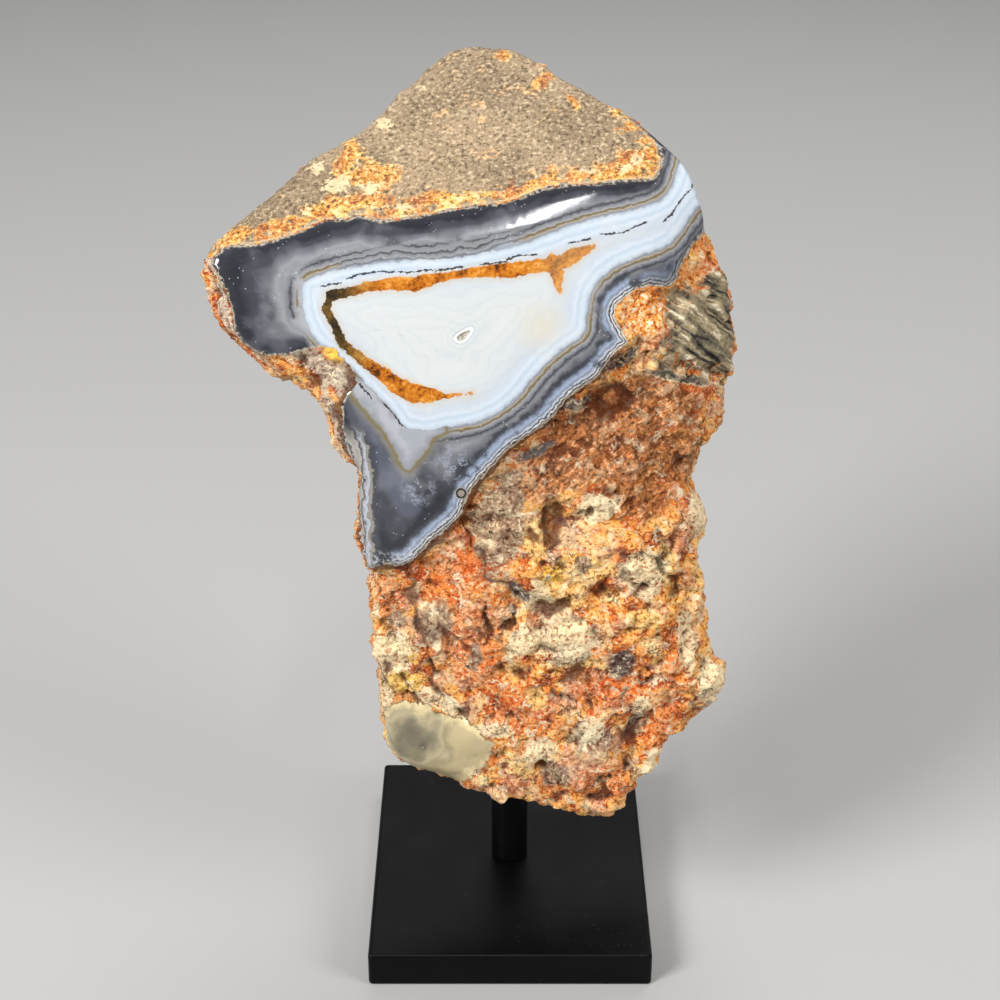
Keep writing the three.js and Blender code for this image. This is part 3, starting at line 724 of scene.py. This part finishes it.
def white_border(graph, outer, white):
    """The olive line just outside the white zone, with wavy grey bands at its upper left."""
    outside = graph.times(white, -1)
    near_white = graph.ramp(graph.share(outside, 2.8), [
        (0, (158, 164, 172)), (0.08, (126, 128, 134)), (0.17, (160, 154, 142)),
        (0.23, (128, 110, 74)), (0.3, (106, 97, 80)), (0.37, (150, 148, 146)),
        (0.5, (120, 122, 130)), (0.62, (66, 66, 70)), (0.76, (116, 117, 120)),
        (1, (48, 48, 54)),
    ])
    wavy_grey = graph.ramp(graph.share(graph.times_plus(graph["cloud"], 0.5, outside), 3.4), [
        (0, (150, 156, 166)), (0.1, (104, 106, 112)), (0.18, (146, 147, 150)),
        (0.3, (120, 121, 124)), (0.36, (66, 66, 70)), (0.42, (136, 137, 140)),
        (0.6, (124, 125, 128)), (0.66, (52, 52, 56)), (0.72, (118, 119, 122)),
        (1, (80, 81, 86)),
    ])
    upper_left = graph.times(graph.step(graph.u, 3, -1), graph.step(graph.v, 20, 21.5),
                             graph.step(graph.u, -26.5, -24))
    near_white = graph.mix(upper_left, near_white, wavy_grey)
    left_side = graph.times(graph.step(graph.u, -29, -30.5), graph.step(graph["ragged"], 0.5, -0.1))
    near_share = graph.times(graph.step(outside, 2.8, 1.8), graph.step(graph["broad"], -1.4, -0.6),
                             graph.math("SUBTRACT", 1, left_side))
    return graph.mix(near_share, outer, near_white)


def rim_bands(graph, outer, polish):
    """Fine light and dark bands that follow the rim below the upper bevel, and its frosty line."""
    bands = graph.ramp(graph.share(polish, RIM_BANDS), [
        (0, (196, 178, 156)), (0.045, (232, 224, 212)), (0.08, (66, 54, 48)),
        (0.115, (80, 70, 66)), (0.15, (234, 234, 236)), (0.19, (120, 120, 124)),
        (0.22, (46, 46, 52)), (0.27, (184, 189, 198)), (0.36, (118, 124, 138)),
        (0.46, (150, 163, 184)), (0.56, (124, 134, 152)), (0.66, (70, 72, 80)),
        (0.84, (44, 45, 52)), (1, (66, 67, 72)),
    ])
    lower = graph.times(graph.step(graph.v, 26.5, 24), graph.step(graph.u, -19, -16),
                        graph.step(graph.u, 21, 17, 0.35, 1))
    patchy = graph.step(graph.times_plus(polish, -0.35, graph["ragged"]), -1.6, -0.7)
    outer = graph.mix(graph.times(graph.step(polish, RIM_BANDS, 2.6), lower, patchy), outer, bands)
    left_edge = graph.times_plus(graph["ragged"], 0.25, shifted(graph, graph["left_edge"], 1.6, 2))
    column = graph.ramp(graph.share(left_edge, RIM_BANDS), [
        (0, (150, 146, 140)), (0.12, (166, 162, 156)), (0.18, (54, 52, 54)),
        (0.26, (150, 150, 156)), (0.36, (178, 182, 190)), (0.44, (124, 120, 118)),
        (0.5, (150, 144, 130)), (0.6, (72, 73, 80)), (1, (50, 51, 58)),
    ])
    in_column = graph.times(graph.step(graph.v, 1, -3), graph.step(left_edge, 3.4, 2.2),
                            graph.step(graph.u, -16, -18))
    outer = graph.mix(in_column, outer, column)
    frost = graph.times(graph.step(polish, 2.8, 0.8), graph.step(graph.v, -15.5, -18.5),
                        graph.step(graph.fine, 0.46, 0.58), 0.7)
    outer = graph.mix(frost, outer, (186, 188, 192))
    rim_line = graph.times(graph.step(polish, 0.5, 0.15), graph.step(graph.fine, 0.42, 0.55), 0.75)
    return graph.mix(rim_line, outer, (196, 184, 164))


def flecks_and_lobe(graph, outer):
    """Pale specks in the dark agate, bubbly mottling in its corner, and the milky grey lobe."""
    medium = graph["medium"]
    flecks = graph.times(graph.step(graph.cells(1.5), 0.18, 0.07), graph.step(medium, 0, 0.5), 0.7)
    outer = graph.mix(flecks, outer, (206, 206, 208))
    froth = graph.times(graph.step(medium, -0.3, 0.5), graph["bubbles"])
    outer = graph.mix(graph.times(froth, 0.8, clamp=True), outer, (126, 130, 142))
    bubble = graph.math("ABSOLUTE", graph.math("SUBTRACT", graph.cells(0.78, vector=graph.bent), 0.34))
    bubble = graph.times(graph.step(bubble, 0.14, 0.02), graph["bubbles"])
    outer = graph.mix(graph.times(bubble, 1.1, clamp=True), outer, (150, 156, 170))
    lobe = shifted(graph, graph["lobe"], 1, 2)
    outer = graph.lay(outer, (124, 120, 108), lobe, -1.6, -0.7, 0.6)
    outer = graph.lay(outer, (122, 108, 70), lobe, -0.7, -0.45, 0.85)
    outer = graph.lay(outer, (140, 142, 147), lobe, -0.35, 0.1)
    outer = graph.lay(outer, (156, 159, 165), lobe, 0.1, 1.3)
    milky = graph.times(graph.step(lobe, -0.2, 0.5), graph.step(medium, -0.4, 0.7), 0.45)
    return graph.mix(milky, outer, (182, 184, 188))


def white_zone(graph, white, ring_distance):
    """A blue-white border, faint inner bands, and a milky core with rings round its cavity."""
    core = graph.ramp(graph.share(white, WHITE_ZONE), [
        (0, (146, 152, 160)), (0.025, (180, 190, 200)), (0.09, (197, 208, 218)),
        (0.17, (180, 193, 206)), (0.22, (198, 207, 216)), (0.3, (190, 198, 207)),
        (0.42, (192, 197, 201)), (0.6, (198, 202, 204)), (1, (201, 204, 203)),
    ])
    ripple = graph.math("SINE", graph.times_plus(graph["cloud"], 4, graph.times(white, 3.2)))
    core = graph.lay(core, (176, 183, 190), ripple, 0.2, 1, 0.18)
    core = graph.lay(core, (208, 209, 206), graph["cloud"], 0.1, 1, 0.3)
    core = graph.mix(graph.times(graph["warmth"], 0.6), core, (208, 196, 168))
    rings = graph.math("SINE", graph.times(ring_distance, 7))
    rings = graph.times(graph.step(rings, 0.4, 1), graph.step(ring_distance, 3.4, 0.4), 0.3)
    core = graph.mix(rings, core, (178, 184, 192))
    core = graph.lay(core, (150, 154, 160), ring_distance, 0.5, 0.4, 0.5)
    core = graph.lay(core, (236, 236, 236), ring_distance, 0.34, 0.24)
    core = graph.lay(core, (160, 154, 144), ring_distance, 0, -0.15)
    crystals = graph.step(graph.fine, 0.5, 0.56, 0, graph.step(ring_distance, -0.1, -0.25))
    return graph.mix(crystals, core, (206, 196, 178))


def stained_seam(graph, colour, seam):
    """The iron-stained seam, darker and olive at its left end, with a tan margin."""
    colour = graph.lay(colour, (196, 176, 142), seam, -1, 0.1, 0.4)
    tone = graph.times_plus(graph["medium"], 0.07, graph.times_plus(graph.fine, 0.4, 0.3))
    amber = graph.ramp(tone, [
        (0.4, (74, 38, 8)), (0.45, (158, 84, 12)), (0.52, (200, 122, 30)), (0.6, (226, 168, 86)),
    ])
    amber = graph.lay(amber, (196, 156, 104), graph.u, 1, 8, 0.35)
    olive = graph.ramp(tone, [(0.4, (26, 19, 9)), (0.5, (66, 50, 20)), (0.64, (134, 98, 36))])
    amber = graph.lay(amber, olive, graph.u, -18.5, -25)
    return graph.lay(colour, amber, seam, -0.06, 0.06)


def polished_colour(graph):
    """Banded chalcedony. Also how sunk the surface is, and the distance into the seam."""
    white = shifted(graph, graph["white"], 0.9, 0)
    polish = shifted(graph, graph["polish"], 1.1, 1)
    ring_distance = graph.times(graph["cavity"], -1)
    outer = white_border(graph, dark_agate(graph), white)
    outer = flecks_and_lobe(graph, rim_bands(graph, outer, polish))
    colour = graph.lay(outer, white_zone(graph, white, ring_distance), white, -0.1, 0.1)
    seam = graph.times_plus(graph.grit, 0.9, shifted(graph, graph["seam"], 0.8, 2))
    colour = stained_seam(graph, colour, seam)

    # The black fissures, and a single dark ring with a pale middle.
    fissure = graph.math("ABSOLUTE", shifted(graph, graph["fissure_across"], 0.7, 1))
    fissure = graph.math("DIVIDE", fissure, graph.step(graph.fine, 0.4, 0.62, 0.03, 0.19))
    fissure = graph.times(graph.step(fissure, 1.3, 0.7), graph["fissure_beside"])
    colour = graph.lay(colour, (30, 28, 30), fissure, 0.1, 0.7, 0.9)
    eye = graph.math("SUBTRACT", graph["eye"], EYE[2])
    colour = graph.lay(colour, (150, 146, 138), eye, 0.45, 0.2, 0.6)
    colour = graph.lay(colour, (44, 38, 34), eye, 0.14, 0.04)
    colour = graph.lay(colour, (140, 132, 120), eye, -0.14, -0.26)
    sunk = graph.math("ADD", graph.step(fissure, 0.1, 0.7), graph.step(ring_distance, -0.05, -0.3))
    return colour, sunk, seam


def matrix_colour(graph, tone, edge):
    """Iron-stained rock: mottled orange with single chips and the larger patches."""
    colour = graph.ramp(tone, [
        (0.34, (140, 60, 20)), (0.42, (216, 106, 34)), (0.48, (248, 150, 62)),
        (0.53, (255, 190, 98)), (0.58, (252, 164, 74)), (0.64, (255, 226, 152)),
    ])
    colour = graph.lay(colour, (255, 208, 126), graph["broad"], 0.1, 0.9, 0.5)
    chip = graph.node("ShaderNodeSeparateColor")
    graph.put(chip.inputs[0], graph.chips)
    cream, rust, grey = chip.outputs
    colour = graph.lay(colour, (255, 226, 176), cream, 0.7, 0.8, 0.45)
    colour = graph.lay(colour, (206, 90, 34), rust, 0.7, 0.8, 0.5)
    colour = graph.lay(colour, (200, 180, 160), grey, 0.8, 0.88, 0.45)
    brown = graph.times_plus(graph.fibre, 0.4, graph.times(graph.fine, 0.25))
    brown = graph.ramp(graph.times_plus(graph.marble, 0.35, brown), [
        (0.42, (78, 42, 22)), (0.47, (124, 74, 38)), (0.51, (166, 102, 52)),
        (0.55, (206, 112, 58)), (0.6, (236, 176, 118)),
    ])
    tints = {
        "brown": (brown, 0.9), "rust": ((240, 118, 44), 0.6), "yellow": ((255, 208, 122), 0.75),
        "grey": ((148, 128, 108), 0.85), "crumbly": ((196, 186, 168), 0.85),
        "cream": ((255, 240, 196), 0.75), "gold": ((240, 184, 48), 0.75),
        # The dark tint is partly painted shadow, under the polished rim and the right ledge.
        "dark": ((84, 86, 90), 0.9),
    }
    for name, (tint, strength) in tints.items():
        inside = graph.math("ADD", edge, graph["patch_" + name])
        colour = graph.lay(colour, tint, inside, 0.34, 0.66, strength)
    return colour


def grained(graph, colour):
    """Pale sugar on the crests and pale veins, dark cracks, painted shade in the hollows and a painted
    highlight on the crests, and a painted shadow under the polished rim.
    """
    fibrous = graph.times(graph["patch_brown"], 0.4, clamp=True)
    speckle = graph.blend(fibrous, graph.fine, graph.fibre)
    sugared = graph.times(graph.step(speckle, 0.54, 0.63), graph.blend(fibrous, 0.75, 0.1))
    colour = graph.mix(sugared, colour, (255, 228, 184))
    colour = graph.mix(graph.step(speckle, 0.48, 0.38, 0, 0.9), colour, (172, 112, 72), "MULTIPLY")
    crack = graph.times(graph.step(graph.edges, 0.07, 0.015), graph.step(graph["ragged"], 0, 0.6), 0.8)
    colour = graph.mix(crack, colour, (78, 36, 16))
    vein = graph.times(graph.step(graph.edges, 0.1, 0.04), graph.step(graph["medium"], -0.1, -0.8),
                       graph.blend(fibrous, 0.75, 0))
    colour = graph.mix(vein, colour, (255, 236, 196))
    # Painted shade: darker in the hollows of the relief; painted highlight: lighter on its crests.
    relief = graph.times_plus(graph.grit, 0.8, graph["relief"])
    colour = graph.lay(colour, (92, 42, 18), relief, -0.2, -0.9, 0.85)
    colour = graph.lay(colour, (255, 222, 172), relief, 0.3, 0.9, 0.3)
    # Painted shadow: dark brown on the upper broken face beneath the polished rim's overhang.
    painted_rim_shadow = graph.times_plus(graph["ragged"], 0.7, graph["polish"])
    painted_rim_shadow = graph.times(graph.step(painted_rim_shadow, -1.6, -0.5), graph.step(graph.v, 14, 8), 0.8)
    return graph.mix(painted_rim_shadow, colour, (80, 38, 18))


def glassy_colour(graph, glass):
    """A smooth olive-grey translucent patch, darker round its eye and cream at its border."""
    murk = graph.times_plus(graph["cloud"], 0.3, graph["murk"])
    glassy = graph.ramp(murk, [
        (0, (170, 154, 118)), (0.25, (140, 128, 98)), (0.5, (164, 152, 122)),
        (0.75, (122, 114, 92)), (1, (98, 92, 76)),
    ])
    eye = graph.math("SUBTRACT", graph["glass_eye"], GLASS_EYE[2])
    glassy = graph.lay(glassy, (70, 66, 58), eye, 0.55, 0.15, 0.5)
    glassy = graph.lay(glassy, (230, 230, 226), eye, 0.05, -0.1)
    border = graph.times_plus(graph["medium"], 0.9, glass)
    return graph.lay(glassy, (222, 202, 154), border, 1.4, 0.2, 0.5)


def broken_colour(graph):
    """The broken faces: rust, brown, cream and grey. Also the share that is the glassy patch."""
    tone = graph.times_plus(graph["medium"], 0.06, graph.marble)
    tone = graph.times_plus(graph["broad"], 0.03, tone)
    edge = graph.times_plus(graph.math("SUBTRACT", graph.marble, 0.5), 2, graph.times(graph.grit, 0.9))
    colour = grained(graph, matrix_colour(graph, tone, edge))

    # The unseen back is duller and browner, like the rind of the top.
    rind = graph.ramp(tone, [(0.4, (120, 84, 54)), (0.5, (168, 128, 86)), (0.6, (204, 164, 112))])
    colour = graph.mix(graph.times(graph["behind"], 0.7), colour, rind)

    # Grey-green strata with near-black streaks on the right shoulder, then painted shade along the creases.
    layered = graph.times_plus(edge, 1.4, graph["patch_strata"])
    strata = graph.noise(1, 3, 0.6, 0.6, graph.stretched((12, 1.4, 9), -0.5))
    strata = graph.ramp(graph.times_plus(graph.fine, 0.25, graph.times(strata, 0.75)), [
        (0.39, (30, 28, 28)), (0.44, (96, 90, 78)), (0.5, (150, 136, 108)),
        (0.56, (184, 164, 126)), (0.62, (250, 236, 206)),
    ])
    colour = graph.lay(colour, strata, layered, 0.35, 0.6)
    # Painted shade: darker along the sunk creases.
    crease = graph.times_plus(graph.grit, 1.2, graph["crease"])
    colour = graph.lay(colour, (60, 30, 16), crease, -0.4, 0.3, 0.7)

    # Crust in the notches: bright orange and yellow-white sugar.
    sugar = graph.ramp(graph.fine, [
        (0.36, (160, 70, 24)), (0.45, (240, 136, 54)), (0.52, (255, 186, 96)), (0.6, (255, 244, 214)),
    ])
    colour = graph.mix(graph.times(graph["notch"], 2.4, clamp=True), colour, sugar)
    colour = graph.mix(graph.times(graph["glow"], 1.8, clamp=True), colour, (255, 196, 84))

    glass = graph.times_plus(edge, 1.8, graph["glass"])
    glass_share = graph.step(glass, -0.15, 0.15)
    return graph.mix(glass_share, colour, glassy_colour(graph, glass)), glass_share


def top_colour(graph):
    """Weathered rind: grey-brown, finely speckled, with orange and cream crumbs."""
    colour = graph.ramp(graph.step(graph["broad"], -0.9, 0.9), [
        (0, (146, 124, 96)), (0.5, (160, 137, 106)), (1, (174, 149, 117)),
    ])
    edge = graph.times_plus(graph.grit, 2.2, graph.times(graph["ragged"], 0.4))
    gold = graph.ramp(graph.times_plus(graph.fine, 0.5, graph.times(graph.marble, 0.5)), [
        (0.42, (168, 88, 34)), (0.48, (220, 138, 50)), (0.54, (244, 186, 82)),
        (0.6, (255, 230, 160)),
    ])
    orange = graph.math("ADD", edge, graph["patch_top_orange"])
    colour = graph.lay(colour, gold, orange, 0.5, 0.9, 0.85)
    cream = graph.math("ADD", edge, graph["patch_top_cream"])
    cream = graph.times_plus(graph["medium"], 0.45, cream)
    colour = graph.lay(colour, (246, 222, 176), cream, 0.75, 1.2, 0.85)
    crumbs = graph.times(graph.step(graph.fine, 0.5, 0.56),
                         graph.step(graph["ragged"], 0.55, 0.9), 0.8)
    colour = graph.mix(crumbs, colour, (232, 176, 112))

    # A crumbly yellow crust along the face's lower rim, with a pale broken edge.
    away = graph.times_plus(graph["ragged"], 1.3, graph["top"])
    strip = graph.times(graph.step(away, 2.8, 1.6), graph.step(graph["medium"], -0.6, -0.1),
                        graph.step(graph.u, 23, 20), 0.85)
    colour = graph.mix(strip, colour, gold)
    away = graph.times_plus(graph.grit, 4, graph["top"])
    colour = graph.lay(colour, (246, 226, 188), away, 0.4, 0.1, 0.7)
    colour = graph.lay(colour, (246, 222, 182), graph.fine, 0.53, 0.64, 0.6)
    return graph.lay(colour, (74, 58, 40), graph.fine, 0.47, 0.36, 0.85)


def stone_material():
    graph = Graph("agate_surface")
    graph.coordinates = graph.node("ShaderNodeAttribute", attribute_name="place").outputs["Vector"]
    split = graph.node("ShaderNodeSeparateXYZ")
    graph.put(split.inputs[0], graph.coordinates)
    graph.u, graph.v = split.outputs[:2]

    # Noises that all the surfaces share.
    swirl = graph.noise(0.85, 3, 0.6, output="Color")
    waves = graph.node("ShaderNodeSeparateColor")
    graph.put(waves.inputs[0], swirl)
    graph.waves = [graph.math("SUBTRACT", waves.outputs[channel], 0.5) for channel in range(3)]
    graph.fine = graph.noise(1.6, 4, 0.7)
    graph.grit = graph.math("SUBTRACT", graph.fine, 0.5)
    bent = graph.node("ShaderNodeVectorMath", operation="MULTIPLY_ADD")
    graph.put(bent.inputs[0], swirl)
    graph.put(bent.inputs[1], (3, 3, 3))
    graph.put(bent.inputs[2], graph.coordinates)
    graph.bent = bent.outputs[0]
    graph.edges = graph.cells(0.36, "DISTANCE_TO_EDGE", vector=graph.bent)
    graph.chips = graph.cells(0.36, output="Color", vector=graph.bent)
    graph.marble = graph.noise(0.3, 5, 0.62, 0, graph.bent)
    graph.fibre = graph.noise(1, 4, 0.7, 0, graph.stretched((1.6, 0.55, 0.8), 0.7))

    polished, sunk, seam = polished_colour(graph)
    broken, glass_share = broken_colour(graph)
    top = top_colour(graph)

    on_top = graph.step(graph["top"], -0.15, 0.15)
    rim = graph.times_plus(graph.grit, 0.8, shifted(graph, graph["polish"], 1.1, 1))
    teeth = graph.step(graph.v, 24, 27, 0, 0.3)
    on_polish = graph.step(graph.times_plus(graph["ragged"], teeth, rim), -0.06, 0.06)
    polished = graph.dimmed(polished, POLISH_SHADE)
    top = graph.dimmed(top, POLISH_SHADE)
    colour = graph.mix(on_polish, graph.mix(on_top, broken, top), polished)
    graph.put(graph.shader.inputs["Base Color"], colour)

    broken_gloss = graph.blend(glass_share, graph.step(graph.fine, 0.35, 0.7, 0.8, 0.5), 0.28)
    rough_gloss = graph.blend(on_top, broken_gloss, graph.step(graph.fine, 0.35, 0.65, 0.8, 0.6))
    gloss = graph.step(graph.marble, 0.35, 0.65, 0.05, 0.11)
    seam_gloss = graph.blend(graph.step(seam, -0.05, 0.1), gloss, 0.3)
    graph.put(graph.shader.inputs["Roughness"], graph.blend(on_polish, rough_gloss, seam_gloss))

    broken_height = graph.times_plus(graph.fine, 1.3, graph.times(graph.fibre, 0.35))
    broken_height = graph.times_plus(graph["medium"], 0.25, broken_height)
    broken_height = graph.times(broken_height, graph.blend(glass_share, 1, 0.05))
    rough_height = graph.blend(on_top, broken_height, graph.times(graph.fine, 0.55))
    bump = graph.node("ShaderNodeBump")
    graph.put(bump.inputs["Distance"], MM)
    graph.put(bump.inputs["Height"], graph.blend(on_polish, rough_height, graph.times(sunk, -0.12)))
    graph.put(graph.shader.inputs["Normal"], bump.outputs[0])
    graph.put(graph.shader.inputs["IOR"], 1.5)
    graph.put(graph.shader.inputs["Specular IOR Level"], 0.35)
    return graph.material


def stand_material(name):
    """Black satin paint with faint smudges and dust."""
    graph = Graph(name)
    graph.coordinates = graph.node("ShaderNodeTexCoord").outputs["Object"]
    smudges = graph.noise(55, 4, 0.6, 0.8)
    dust = graph.times(graph.step(graph.cells(900), 0.14, 0.06), graph.step(smudges, 0.5, 0.6))
    colour = graph.mix(graph.step(smudges, 0.35, 0.7), (5, 5, 6), (9, 9, 10))
    colour = graph.mix(graph.times(dust, 0.3), colour, (90, 87, 82))
    graph.put(graph.shader.inputs["Base Color"], colour)
    graph.put(graph.shader.inputs["Roughness"], graph.step(smudges, 0.25, 0.75, 0.33, 0.42))
    bump = graph.node("ShaderNodeBump")
    graph.put(bump.inputs["Distance"], 0.02 * MM)
    graph.put(bump.inputs["Height"], graph.noise(1600, 2))
    graph.put(graph.shader.inputs["Normal"], bump.outputs[0])
    graph.put(graph.shader.inputs["Specular IOR Level"], 0.1)
    return graph.material


# The stand's pieces

def lathe(name, profile, segments):
    """A closed turned body from (radius, height) points, on the Z axis."""
    body = bmesh.new()
    rings = []
    for radius, height in profile:
        if radius == 0:
            rings.append([body.verts.new((0, 0, height))])
            continue
        angles = [2 * math.pi * i / segments for i in range(segments)]
        rings.append([body.verts.new((radius * math.cos(a), radius * math.sin(a), height)) for a in angles])
    for lower, upper in zip(rings, rings[1:]):
        for i in range(segments):
            j = (i + 1) % segments
            corners = [lower[i % len(lower)], lower[j % len(lower)],
                       upper[j % len(upper)], upper[i % len(upper)]]
            body.faces.new(list(dict.fromkeys(corners)))
    return piece_from(body, name)


def make_post():
    """The rod, with an eased foot and top."""
    radius = (POST_HIGH[0] - POST_LOW[0]) / 2
    ease = POST_EASE * MM
    bottom = POST_LOW[2]
    top = POST_HIGH[2]
    corner = 0.3 * ease
    profile = [
        (0, bottom), (radius - ease, bottom), (radius - corner, bottom + corner),
        (radius, bottom + ease), (radius, bottom + 3 * ease), (radius, (bottom + top) / 2),
        (radius, top - 3 * ease), (radius, top - ease), (radius - corner, top - corner),
        (radius - ease, top), (0, top),
    ]
    return lathe("post_rod", profile, POST_SEGMENTS)


def make_base():
    """The plate with rounded edges."""
    size = [high - low for low, high in zip(BASE_LOW, BASE_HIGH)]
    middle = [(high + low) / 2 for low, high in zip(BASE_LOW, BASE_HIGH)]
    body = bmesh.new()
    bmesh.ops.create_cube(body, size=1)
    for vertex in body.verts:
        vertex.co = Vector([c * s + m for c, s, m in zip(vertex.co, size, middle)])
    bmesh.ops.bevel(body, geom=body.edges[:], offset=BASE_EASE * MM, segments=4, profile=0.5,
                    affect="EDGES")
    piece = piece_from(body, "base_slab")
    normals = piece.modifiers.new("flat_faces", "WEIGHTED_NORMAL")
    normals.keep_sharp = True
    return piece


# Surroundings

def make_floor():
    """A plain pale floor."""
    body = bmesh.new()
    bmesh.ops.create_grid(body, x_segments=1, y_segments=1, size=FLOOR_SIZE)
    floor = piece_from(body, "floor")
    graph = Graph("floor_surface")
    graph.put(graph.shader.inputs["Base Color"], linear(152, 151, 149))
    graph.put(graph.shader.inputs["Roughness"], 0.9)
    floor.data.materials.append(graph.material)


def make_light(name, location, size, energy, mirrored):
    light = bpy.data.lights.new(name, "AREA")
    light.shape = "RECTANGLE"
    light.size, light.size_y = size
    light.energy = energy
    lamp = bpy.data.objects.new(name, light)
    lamp.location = location
    aim = Vector(LIGHT_TARGET) - Vector(location)
    lamp.rotation_euler = aim.to_track_quat("-Z", "Y").to_euler()
    lamp.visible_glossy = mirrored
    bpy.context.scene.collection.objects.link(lamp)


def make_lights():
    for light in LIGHTS:
        make_light(*light)
    world = bpy.data.worlds.new("studio")
    world.use_nodes = True
    background = world.node_tree.nodes["Background"]
    background.inputs["Color"].default_value = SKY_COLOUR
    background.inputs["Strength"].default_value = SKY_STRENGTH
    bpy.context.scene.world = world


def make_camera():
    data = bpy.data.cameras.new("camera")
    data.lens = LENS
    data.sensor_width = SENSOR
    camera = bpy.data.objects.new("camera", data)
    camera.location = (CAMERA_ACROSS * MM, -CAMERA_AWAY * MM, BASE_TOP + CAMERA_ABOVE_BASE * MM)
    camera.rotation_euler = (math.pi / 2 - FACING_TILT, 0, 0)
    bpy.context.scene.collection.objects.link(camera)
    bpy.context.scene.camera = camera


def dress(piece, node, material):
    """Gives a piece its finish, and lets it stand for its CAD node."""
    piece.data.materials.clear()
    piece.data.materials.append(material)
    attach(piece, "root")
    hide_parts(node)


dress(shape_stone(), "agate", stone_material())
dress(make_post(), "post", stand_material("post_paint"))
dress(make_base(), "base_plate", stand_material("plate_paint"))
make_floor()
make_lights()
make_camera()
bpy.context.scene.view_settings.view_transform = "Standard"
